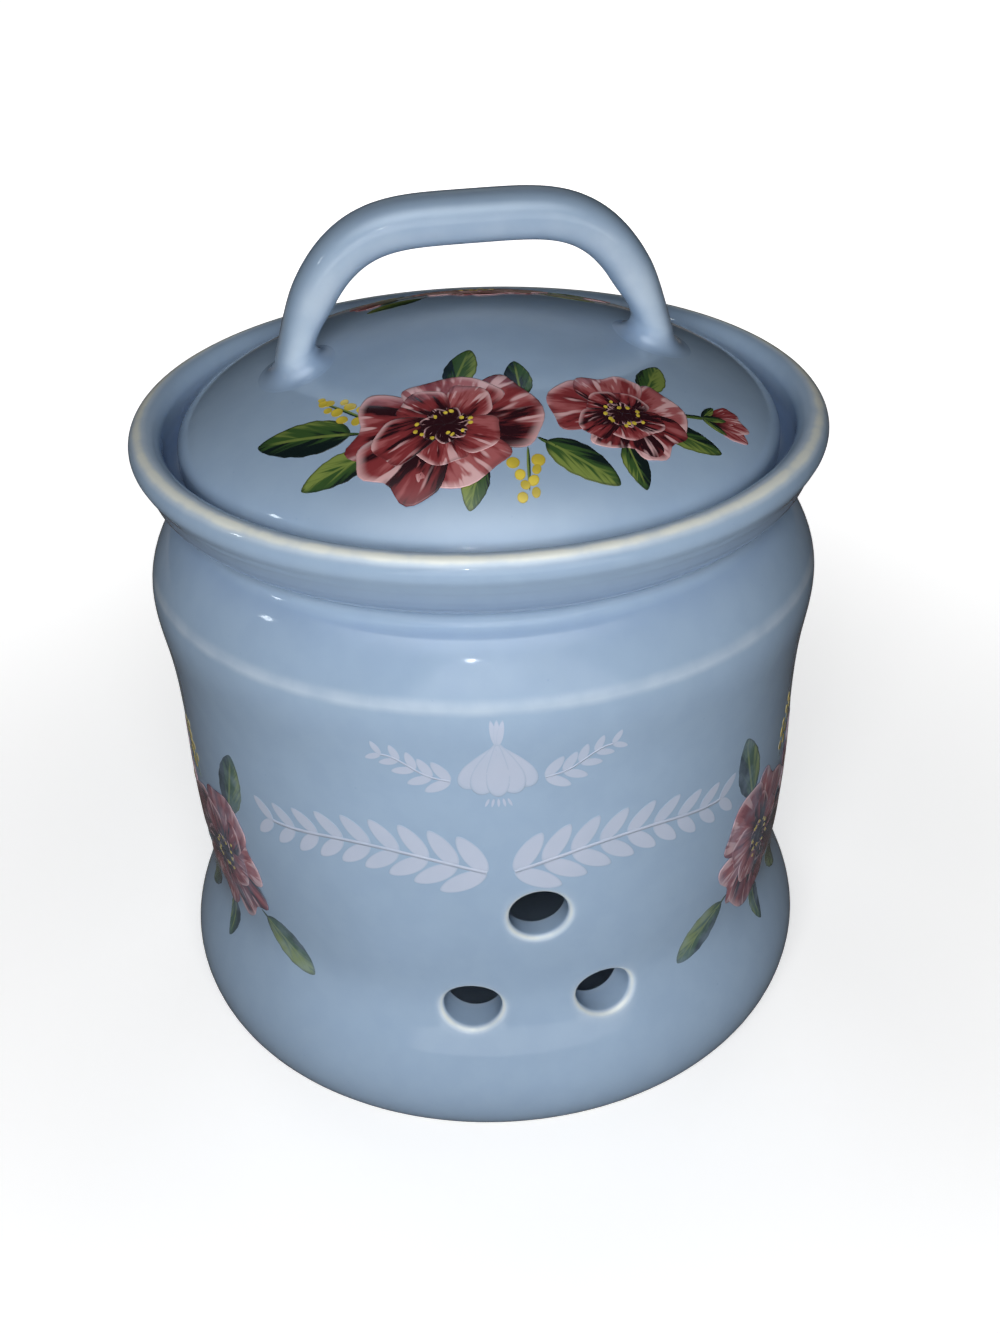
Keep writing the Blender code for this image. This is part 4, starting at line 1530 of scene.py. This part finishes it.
def garland_tree():
    """Grows pairs of leaves and berries along a branch and lays it all on the wall."""
    inputs = {
        "Branch": "Geometry",
        "Leaf": "Object",
        "Berry": "Object",
        "Leaf Pairs": "Int",
        "Leaf Length": "Float",
        "Leaf Width": "Float",
        "Leaf Angle": "Float",
        "Tip Share": "Float",
        "Berry Size": "Float",
        "Berry Aside": "Float",
        "Berry Ahead": "Float",
        "Stem Width": "Float",
        "Stem Depth": "Float",
        **SURFACE_INPUTS,
    }
    tree, nodes, given = new_tree("Garland", inputs)
    curve = nodes.add("GeometryNodeMeshToCurve", {"Mesh": given["Branch"]}).outputs[0]
    inputs = {"Curve": curve, "Count": given["Leaf Pairs"]}
    spots = nodes.add("GeometryNodeResampleCurve", inputs).outputs[0]
    tangent = nodes.split(nodes.add("GeometryNodeInputTangent").outputs[0])
    heading = nodes.math("SUBTRACT", nodes.math("ARCTAN2", tangent[1], tangent[0]), math.pi / 2)
    part = nodes.add("GeometryNodeSplineParameter").outputs["Factor"]
    taper = nodes.math("MULTIPLY_ADD", part, nodes.math("SUBTRACT", given["Tip Share"], 1.0), 1.0)
    long = nodes.math("MULTIPLY", given["Leaf Length"], taper)
    wide = nodes.math("MULTIPLY", given["Leaf Width"], taper)
    join = nodes.add("GeometryNodeJoinGeometry")
    leaf = nodes.add("GeometryNodeObjectInfo", {"Object": given["Leaf"]}).outputs["Geometry"]
    berry = nodes.add("GeometryNodeObjectInfo", {"Object": given["Berry"]}).outputs["Geometry"]
    size = nodes.math("MULTIPLY", given["Berry Size"], taper)
    for side in (-1.0, 1.0):
        turn = nodes.math("MULTIPLY_ADD", given["Leaf Angle"], side, heading)
        inputs = {
            "Points": spots,
            "Instance": leaf,
            "Rotation": nodes.xyz(0.0, 0.0, turn),
            "Scale": nodes.xyz(wide, long, 1.0),
        }
        leaves = nodes.add("GeometryNodeInstanceOnPoints", inputs).outputs[0]
        nodes.tree.links.new(leaves, join.inputs[0])
        inputs = {
            "Points": spots,
            "Instance": berry,
            "Rotation": nodes.xyz(0.0, 0.0, heading),
            "Scale": nodes.xyz(size, size, 1.0),
        }
        berries = nodes.add("GeometryNodeInstanceOnPoints", inputs).outputs[0]
        aside = nodes.math("MULTIPLY", given["Berry Aside"], side)
        inputs = {"Instances": berries, "Translation": nodes.xyz(aside, given["Berry Ahead"], 0.0)}
        moved = nodes.add("GeometryNodeTranslateInstances", inputs)
        nodes.tree.links.new(moved.outputs[0], join.inputs[0])
    upright = nodes.add("GeometryNodeSetCurveNormal", {"Curve": curve}, mode="Z_UP").outputs[0]
    section = nodes.add(
        "GeometryNodeCurvePrimitiveQuadrilateral",
        {"Width": given["Stem Width"], "Height": given["Stem Depth"]},
    ).outputs[0]
    inputs = {"Curve": upright, "Profile Curve": section, "Fill Caps": True}
    stem = nodes.add("GeometryNodeCurveToMesh", inputs).outputs[0]
    nodes.tree.links.new(stem, join.inputs[0])
    real = nodes.add("GeometryNodeRealizeInstances", {"Geometry": join.outputs[0]})
    shape = lay_on_surface(nodes, given, real.outputs[0], True)
    finish_tree(nodes, shape, given["Paint"])
    return tree


# Where the motifs lie

DECAL_LIFT, DECAL_STEP = 0.03 * MM, 0.0035 * MM


def surface_settings(surface, material, degrees=0.0):
    """Settings that every decal tree takes: what it lies on, how proud, where round the wall."""
    pot = bpy.context.scene.keeper_pot
    return {
        "Surface": surface,
        "Lift": DECAL_LIFT,
        "Layer Step": DECAL_STEP,
        "Wall Radius": mix(pot.waist_radius, pot.shoulder_radius, 0.5),
        "Wall Angle": math.radians(degrees),
        "Paint": material,
    }


def lid_front_spray():
    """Two roses, a bud, leaves and berries across the front of the lid."""
    spray = Spray(seed=11)
    for place, degrees, long, tone in (
        ((-24, -29), 158, 17.0, -0.1),
        ((-21, -34), 190, 13.0, 0.12),
        ((-8, -24), 66, 11.5, 0.05),
        ((-5, -40), 250, 9.5, 0.2),
        ((4, -28), 88, 10.0, -0.15),
        ((5, -37), 322, 14.0, 0.1),
        ((25, -32.5), -14, 11.5, -0.02),
        ((26, -25), 66, 10.5, 0.2),
        ((20, -37), 280, 9.0, -0.12),
    ):
        spray.leaf(place, degrees, long, tone)
    spray.berries((-22, -27), degrees=128, long=12.0, count=10)
    spray.berries((3, -39), degrees=262, long=9.0, count=8)
    spray.bud((30, -29), degrees=10, long=13.0, tone=0.05)
    spray.rose((21, -31), radius=13.2, degrees=38, squash=0.82, tone=-0.05)
    spray.rose((-10, -32), radius=18.0, degrees=12, squash=0.74)
    return spray


def lid_back_spray():
    """A rose, two buds and leaves across the back of the lid."""
    spray = Spray(seed=23)
    for place, degrees, long, tone in (
        ((-8, 33), 160, 13.0, 0.3),
        ((-6, 24), 205, 12.0, 0.15),
        ((17, 34), 22, 12.5, 0.0),
        ((16, 25), -20, 10.0, 0.2),
        ((3, 40), 100, 8.5, -0.1),
    ):
        spray.leaf(place, degrees, long, tone)
    spray.berries((-9, 38), degrees=140, long=9.0, count=8)
    spray.bud((16, 29), degrees=4, long=13.5)
    spray.bud((-5, 28), degrees=182, long=14.0, tone=0.1)
    spray.rose((5, 31), radius=13.0, degrees=80, squash=0.92, tone=0.02)
    return spray


WALL_WASH = 0.30
WALL_DROP = 3


def wall_spray(seed, mirror):
    """Two roses with a bud, berries and leaves that climb the wall; mirror turns them round."""
    spray = Spray(seed, WALL_WASH)

    def there(place, degrees):
        """The place and the way it points, turned round for the other side."""
        return (place[0] * mirror, place[1] - WALL_DROP), (degrees if mirror > 0 else 180 - degrees)

    for place, degrees, long, tone in (
        ((9, 43), -34, 15.0, 0.15),
        ((3, 62), 74, 15.5, -0.05),
        ((-13, 42), 228, 13.5, 0.1),
        ((-16, 61), 152, 15.0, 0.0),
        ((-28, 51), 196, 13.0, 0.2),
        ((-4, 39), 262, 9.5, -0.1),
    ):
        spray.leaf(*there(place, degrees), long, tone)
    spray.berries(*there((-10, 64), 118), long=11.0, count=9)
    spray.bud(*there((-14, 47), 205), long=15.0, tone=0.05)
    spray.rose(there((-25, 58), 0)[0], radius=10.5, degrees=30 if mirror > 0 else 75)
    spray.rose(there((-1, 52), 0)[0], radius=15.0, degrees=18 if mirror > 0 else 60, tone=0.04)
    return spray


NECK_LEANS, NECK_HEIGHT, NECK_ASIDE, NECK_LONG, NECK_WIDE = (-9, 0, 9), 92.0, 0.02, 5.2, 1.1
ROOTS, ROOT_HEIGHT, ROOT_SPLAY, ROOT_LONG, ROOT_WIDE = (-1.6, -0.8, 0.0, 0.8, 1.6), 80.0, 14, 1.9, 0.5


def bulb_spray():
    """A garlic bulb of five cloves, with its neck and its roots."""
    spray = Spray(seed=5)
    for across, height, degrees, long, wide in (
        (-5.9, 82.4, 60, 11.0, 4.6),
        (5.9, 82.4, 120, 11.0, 4.6),
        (-3.2, 81.0, 75, 12.2, 4.9),
        (3.2, 81.0, 105, 12.2, 4.9),
        (0.0, 80.4, 90, 12.6, 4.2),
    ):
        spray.add(clove, PETAL_PAINT, (across, height), degrees, long, wide)
    for lean in NECK_LEANS:
        place = (lean * NECK_ASIDE, NECK_HEIGHT)
        spray.add(smooth_leaf, PETAL_PAINT, place, 90 - lean, NECK_LONG, NECK_WIDE)
    for across in ROOTS:
        way = 270 + across * ROOT_SPLAY
        spray.add(smooth_leaf, PETAL_PAINT, (across, ROOT_HEIGHT), way, ROOT_LONG, ROOT_WIDE)
    return spray


GARLAND_CENTRE = -6.5
BRANCH_SPACING = 1.0 * MM
GARLAND_LEAF_ANGLE = 42.0
GARLAND_BERRY, GARLAND_BERRY_ASIDE, GARLAND_BERRY_AHEAD, GARLAND_STEM = 0.13, 0.6, 0.3, 0.075


def branch(name, points):
    """A smooth line of edges through the points, for a tree to grow along."""
    points = [(x * MM, y * MM) for x, y in points]
    line = even_curve(points, (math.copysign(1, points[-1][0]), 0.0), BRANCH_SPACING)
    corners = [(x, y, 0.0) for x, y in line]
    mesh = bpy.data.meshes.new(name)
    mesh.from_pydata(corners, [(i, i + 1) for i in range(len(corners) - 1)], [])
    return placed(name, mesh)


# Operators

CLAY_MARGIN, CLAY_HEIGHT = 0.1 * MM, 0.3 * MM
SKIRT_THIN, SKIRT_THIN_SPREAD = 0.5, 1.0 * MM
SEAT_DEEP, SEAT_DEEP_SPREAD = 0.3, 1.2 * MM
WELD = 0.0005 * MM


class KEEPER_OT_pot(bpy.types.Operator):
    """Make the glazed pot with its vents and its bare foot ring"""

    bl_idname = "keeper.pot"
    bl_label = "Pot"

    def execute(self, context):
        pot, finishes = context.scene.keeper_pot, context.scene.keeper_finishes
        piece = make_pot_mesh(pot)
        piece.data.materials.append(glaze_material(finishes))
        piece.data.materials.append(clay_material(finishes))
        inner = pot.foot_radius - pot.foot_ring - CLAY_MARGIN
        for face in piece.data.polygons:
            if face.center.z < CLAY_HEIGHT and math.hypot(*face.center[:2]) > inner:
                face.material_index = 1
        declare(piece, "pot", "blue_glaze", "pot_body")
        return {"FINISHED"}


class KEEPER_OT_lid(bpy.types.Operator):
    """Turn the domed lid with its seat and its skirt"""

    bl_idname = "keeper.lid"
    bl_label = "Lid"

    def execute(self, context):
        pot, lid = context.scene.keeper_pot, context.scene.keeper_lid
        profile = lid_profile(lid, pot)
        corners = np.column_stack([profile[:, 0], np.zeros(len(profile)), profile[:, 1]])
        seat = gallery(pot)[0] + lid.seat_gap
        skirt = bell(profile[:, 1], seat - lid.skirt_depth, SKIRT_THIN_SPREAD)
        marks = {
            "glaze_thin": SKIRT_THIN * skirt,
            "glaze_deep": SEAT_DEEP * bell(profile[:, 1], seat, SEAT_DEEP_SPREAD),
        }
        piece = smooth_object("domed_lid", corners, [], marks)
        settings = {
            "Rows": len(profile),
            "Columns": lid.columns,
            "Weld": WELD,
            "Glaze": bpy.data.materials[GLAZE],
        }
        grown(piece, turned_tree(), settings)
        point_outwards(piece.data)
        declare(piece, "lid", "blue_glaze", "lid_dome")
        return {"FINISHED"}


class KEEPER_OT_handle(bpy.types.Operator):
    """Sweep the strap handle and run its feet out onto the lid"""

    bl_idname = "keeper.handle"
    bl_label = "Handle"

    def execute(self, context):
        scene = context.scene
        piece = make_handle_mesh(scene.keeper_handle, scene.keeper_lid, scene.keeper_pot)
        piece.data.materials.append(bpy.data.materials[GLAZE])
        declare(piece, "lid", "blue_glaze", "lid_handle")
        return {"FINISHED"}


class KEEPER_OT_blossoms(bpy.types.Operator):
    """Lay the painted roses, leaves and berries on the lid and on the pot's sides"""

    bl_idname = "keeper.blossoms"
    bl_label = "Blossoms"

    def execute(self, context):
        finishes = context.scene.keeper_finishes
        material = blossom_material(finishes)
        motifs = motif_collection()
        lid = bpy.data.objects["domed_lid"]
        pot = bpy.data.objects["stoneware_pot"]
        flat, wrapped = decal_tree(False), decal_tree(True)
        for name, spray, tree, surface, degrees, body in (
            ("lid_front_blossoms", lid_front_spray(), flat, lid, 0.0, "lid"),
            ("lid_back_blossoms", lid_back_spray(), flat, lid, 0.0, "lid"),
            ("pot_left_blossoms", wall_spray(seed=37, mirror=1), wrapped, pot, -66.0, "pot"),
            ("pot_right_blossoms", wall_spray(seed=41, mirror=-1), wrapped, pot, 50.0, "pot"),
        ):
            piece = spray.points(name)
            settings = {"Motifs": motifs, **surface_settings(surface, material, degrees)}
            grown(piece, tree, settings)
            declare(piece, body, "floral_decal")
        remove_motifs(motifs)
        return {"FINISHED"}


class KEEPER_OT_garland(bpy.types.Operator):
    """Lay the white garland and the garlic bulb on the front of the pot"""

    bl_idname = "keeper.garland"
    bl_label = "Garland"

    def execute(self, context):
        finishes = context.scene.keeper_finishes
        material = garland_material(finishes)
        motifs = motif_collection()
        pot = bpy.data.objects["stoneware_pot"]
        common = surface_settings(pot, material, GARLAND_CENTRE)
        leaf = motifs.objects[f"motif_{MOTIFS.index(smooth_leaf)}"]
        berry = motifs.objects[f"motif_{MOTIFS.index(round_dab)}"]
        tree = garland_tree()
        for side, name in ((-1, "left"), (1, "right")):
            for kind, points, pairs, long, wide, tip in (
                ("garland", ((2.5, 63.5), (14, 66.5), (30, 67.5), (45, 66.0)), 9, 9.5, 3.7, 0.62),
                ("sprig", ((8.0, 84.0), (12.0, 85.0), (19.5, 89.0)), 5, 5.2, 2.1, 0.6),
            ):
                piece = branch(f"{kind}_{name}", [(x * side, y) for x, y in points])
                settings = {
                    "Leaf": leaf,
                    "Berry": berry,
                    "Leaf Pairs": pairs,
                    "Leaf Length": long * MM,
                    "Leaf Width": wide * MM,
                    "Leaf Angle": math.radians(GARLAND_LEAF_ANGLE),
                    "Tip Share": tip,
                    "Berry Size": GARLAND_BERRY * long * MM,
                    "Berry Aside": GARLAND_BERRY_ASIDE * long * MM,
                    "Berry Ahead": GARLAND_BERRY_AHEAD * long * MM,
                    "Stem Width": GARLAND_STEM * long * MM,
                    "Stem Depth": DECAL_THICKNESS / 2,
                    **common,
                }
                grown(piece, tree, settings)
                declare(piece, "pot", "white_decal")
        bulb = bulb_spray().points("garlic_bulb_motif")
        grown(bulb, decal_tree(True), {"Motifs": motifs, **common})
        declare(bulb, "pot", "white_decal")
        remove_motifs(motifs)
        return {"FINISHED"}


# The stage

CAMERA_PLACE = Vector((-45.1, -338.3, 271.6)) * MM
CAMERA_HEADING = math.radians(8.03)
CAMERA_PITCH = math.radians(30.578)
CAMERA_ROLL = math.radians(1.793)
SENSOR_WIDTH, CLIP_START = 36.0, 0.01
WHITE = (1.0, 1.0, 1.0, 1.0)
SQUARE = ((-1, -1), (1, -1), (1, 1), (-1, 1))
FLOOR_REACH, FLOOR_ROUGHNESS = 3.0, 0.9
FLOOR_SHADE, FLOOR_SEEN = (0.5, 0.5, 0.5), (0.8, 0.8, 0.8)
FLOOR_GLOW = (0.08, 0.36, 0.52, 1.0)
CARD_GLOW = (0.88, 0.95, 1.0, 1.0)
FLAG_SHADE, FLAG_SOFTNESS = (0.04, 0.038, 0.036), 0.12
TABLE_SHADE, TABLE_SIZE, TABLE_LIFT = (0.12, 0.105, 0.09), (4.0, 4.0), 0.3 * MM
BACK_GLOW_SHARE = 0.06
AIM_SHARE = 0.7
FLASH_RISE, FLASH_SIZE = 30.0 * MM, (0.04, 0.04)


def add_camera(lens):
    """The camera at the photograph's angle."""
    data = bpy.data.cameras.new("camera")
    data.lens = lens
    data.sensor_width = SENSOR_WIDTH
    data.sensor_fit = "AUTO"
    data.clip_start = CLIP_START
    camera = placed("camera", data)
    turned = (
        Matrix.Rotation(-CAMERA_HEADING, 4, "Z")
        @ Matrix.Rotation(math.pi / 2 - CAMERA_PITCH, 4, "X")
        @ Matrix.Rotation(-CAMERA_ROLL, 4, "Z")
    )
    camera.matrix_world = Matrix.Translation(CAMERA_PLACE) @ turned
    bpy.context.scene.camera = camera


def add_lamp(name, place, target, size, watts, in_gloss=True):
    """A soft lamp that faces the target; the gloss can be kept from showing it."""
    data = bpy.data.lights.new(name, "AREA")
    data.shape = "RECTANGLE"
    data.size, data.size_y = size
    data.energy = watts
    lamp = placed(name, data)
    lamp.location = place
    lamp.rotation_euler = (Vector(target) - Vector(place)).to_track_quat("-Z", "Y").to_euler()
    lamp.visible_glossy = in_gloss


def background_rays(nodes):
    """1 for the rays that see the background: the camera's, and those of gloss and glass."""
    rays = nodes.add("ShaderNodeLightPath").outputs
    seen = nodes.math("MAXIMUM", rays["Is Camera Ray"], rays["Is Glossy Ray"])
    return nodes.math("MAXIMUM", seen, rays["Is Transmission Ray"])


def add_world(ambient):
    """A white background over an even, low light."""
    world = bpy.data.worlds.new("studio")
    world.use_nodes = True
    bpy.context.scene.world = world
    nodes = Nodes(world.node_tree)
    background = world.node_tree.nodes["Background"]
    background.inputs["Color"].default_value = WHITE
    strength = nodes.fit(background_rays(nodes), 0.0, 1.0, ambient, 1.0)
    world.node_tree.links.new(strength, background.inputs["Strength"])


def add_floor():
    """A pale floor that shows as white to the camera and still takes the shadow."""
    corners = [(x * FLOOR_REACH, y * FLOOR_REACH, 0.0) for x, y in SQUARE]
    floor = smooth_object("floor", corners, [(0, 1, 2, 3)])
    material, nodes, shader = new_material("pale_floor")
    seen = background_rays(nodes)
    shade = nodes.blend(seen, FLOOR_SHADE, FLOOR_SEEN)
    nodes.tree.links.new(shade, shader.inputs["Base Color"])
    shader.inputs["Roughness"].default_value = FLOOR_ROUGHNESS
    shader.inputs["Emission Color"].default_value = WHITE
    x, y, _ = nodes.split(nodes.add("ShaderNodeTexCoord").outputs["Object"])
    squares = nodes.math("ADD", nodes.math("MULTIPLY", x, x), nodes.math("MULTIPLY", y, y))
    away = nodes.math("SQRT", squares)
    glow = nodes.math("MULTIPLY", seen, nodes.fit(away, *FLOOR_GLOW))
    nodes.tree.links.new(glow, shader.inputs["Emission Strength"])
    floor.data.materials.append(material)


def add_card(name, place, target, size, shade, brightness=0.0, soft=0.0):
    """A flat card that faces the target and that the camera doesn't see; soft fades its edges."""
    turned = (Vector(target) - Vector(place)).to_track_quat("Z", "Y").to_matrix()
    half = Vector(size) / 2
    corners = [turned @ Vector((x * half.x, y * half.y, 0.0)) + Vector(place) for x, y in SQUARE]
    card = smooth_object(name, corners, [(0, 1, 2, 3)])
    material, nodes, shader = new_material(name)
    shader.inputs["Base Color"].default_value = (*shade, 1.0)
    shader.inputs["Roughness"].default_value = 1.0
    shader.inputs["Specular IOR Level"].default_value = 0.0
    shader.inputs["Emission Color"].default_value = CARD_GLOW
    shader.inputs["Emission Strength"].default_value = brightness
    if soft:
        fade_out(card, nodes, shader, brightness, soft)
    card.data.materials.append(material)
    card.visible_camera = False
    return card


def fade_out(card, nodes, shader, brightness, soft):
    """Lets the card's glow and its shade fade to nothing towards its edges."""
    uvs = card.data.uv_layers.new(name="UVMap").data
    for uv, (x, y) in zip(uvs, SQUARE):
        uv.uv = (x + 1) / 2, (y + 1) / 2
    strength = 1.0
    for part in flat_place(nodes):
        from_middle = nodes.math("ABSOLUTE", nodes.math("SUBTRACT", part, 0.5))
        inset = nodes.math("SUBTRACT", 0.5, from_middle)
        strength = nodes.math("MULTIPLY", strength, nodes.fit(inset, 0.0, soft))
    glow = nodes.math("MULTIPLY", strength, brightness)
    nodes.tree.links.new(glow, shader.inputs["Emission Strength"])
    nodes.tree.links.new(strength, shader.inputs["Alpha"])


def only_in_gloss(card):
    """Keeps the card from lighting or shading anything."""
    card.visible_diffuse = False
    card.visible_shadow = False


def outwards(azimuth, elevation, distance, centre):
    """The place this far from the centre; azimuth 0 is in front and 90 is to the right."""
    turn, rise = math.radians(azimuth), math.radians(elevation)
    level = math.cos(rise)
    way = Vector((math.sin(turn) * level, -math.cos(turn) * level, math.sin(rise)))
    return Vector(centre) + way * distance


class KEEPER_OT_stage(bpy.types.Operator):
    """Set up the floor, the soft lamps, the dark flags and the camera"""

    bl_idname = "keeper.stage"
    bl_label = "Stage"

    def execute(self, context):
        stage = context.scene.keeper_stage
        add_camera(stage.lens)
        add_world(stage.ambient)
        add_floor()
        middle = Vector((0.0, 0.0, context.scene.keeper_pot.height * AIM_SHARE))
        for name, azimuth, elevation, distance, size, watts, in_gloss in (
            ("key_lamp", -10.0, 24.0, 0.55, (0.26, 0.20), stage.key, False),
            ("left_back_lamp", -150.0, 7.0, 0.90, (0.50, 0.30), stage.back, False),
            ("right_back_lamp", 150.0, 7.0, 0.90, (0.50, 0.30), stage.back, False),
            ("glint_lamp", -13.0, 36.0, 0.50, (0.008, 0.008), stage.glint, True),
        ):
            place = outwards(azimuth, elevation, distance, middle)
            add_lamp(name, place, middle, size, watts, in_gloss)
        beside = CAMERA_PLACE + Vector((0.0, 0.0, FLASH_RISE))
        add_lamp("flash_lamp", beside, middle, FLASH_SIZE, stage.flash, False)
        for name, azimuth, elevation, distance, size in (
            ("left_flag", -90.0, 26.0, 0.95, (3.2, 1.9)),
            ("right_flag", 90.0, 26.0, 0.95, (3.2, 1.9)),
            ("back_flag", 180.0, 30.0, 1.20, (3.4, 2.2)),
            ("top_flag", 170.0, 82.0, 1.30, (2.6, 2.2)),
        ):
            place = outwards(azimuth, elevation, distance, middle)
            add_card(name, place, middle, size, FLAG_SHADE, soft=FLAG_SOFTNESS)
        for name, azimuth, elevation, distance, size, brightness, soft in (
            ("right_window", 62.0, 41.0, 1.20, (0.16, 0.62), stage.window, 0.0),
            ("left_window", -92.0, 31.0, 0.80, (0.05, 0.05), stage.window, 0.0),
            ("soft_glow", -12.0, 68.0, 0.75, (2.0, 1.5), stage.glow, 0.5),
            ("back_glow", 172.0, 22.0, 0.90, (1.4, 0.7), BACK_GLOW_SHARE * stage.glow, 0.5),
        ):
            place = outwards(azimuth, elevation, distance, middle)
            card = add_card(name, place, middle, size, FLAG_SHADE, brightness, soft)
            only_in_gloss(card)
        place = (0.0, 0.0, TABLE_LIFT)
        only_in_gloss(add_card("table_card", place, middle, TABLE_SIZE, TABLE_SHADE))
        context.scene.view_settings.view_transform = "Standard"
        return {"FINISHED"}


class KEEPER_PT_panel(bpy.types.Panel):
    """The keeper's pieces and sizes in the sidebar"""

    bl_idname = "KEEPER_PT_panel"
    bl_label = "Garlic Keeper"
    bl_space_type = "VIEW_3D"
    bl_region_type = "UI"
    bl_category = "Keeper"

    def draw(self, context):
        for operator in OPERATORS:
            self.layout.operator(operator.bl_idname)
        for group in GROUPS:
            box = self.layout.box()
            box.label(text=group.__doc__)
            held = getattr(context.scene, GROUPS[group])
            for name in group.__annotations__:
                box.prop(held, name)


GROUPS = {
    PotSizes: "keeper_pot",
    LidSizes: "keeper_lid",
    HandleSizes: "keeper_handle",
    Finishes: "keeper_finishes",
    StageSizes: "keeper_stage",
}
OPERATORS = (
    KEEPER_OT_stage,
    KEEPER_OT_pot,
    KEEPER_OT_lid,
    KEEPER_OT_handle,
    KEEPER_OT_blossoms,
    KEEPER_OT_garland,
)
CLASSES = (*GROUPS, *OPERATORS, KEEPER_PT_panel)


def register():
    """Registers the classes and hangs the properties on the scene."""
    for kind in CLASSES:
        bpy.utils.register_class(kind)
    for group, name in GROUPS.items():
        setattr(bpy.types.Scene, name, PointerProperty(type=group))


def unregister():
    """Takes the properties and the classes away again."""
    for name in GROUPS.values():
        delattr(bpy.types.Scene, name)
    for kind in reversed(CLASSES):
        bpy.utils.unregister_class(kind)


def main():
    """Registers the classes and makes every piece in order."""
    register()
    bpy.ops.keeper.stage()
    bpy.ops.keeper.pot()
    bpy.ops.keeper.lid()
    bpy.ops.keeper.handle()
    bpy.ops.keeper.blossoms()
    bpy.ops.keeper.garland()


if __name__ == "__main__":
    main()
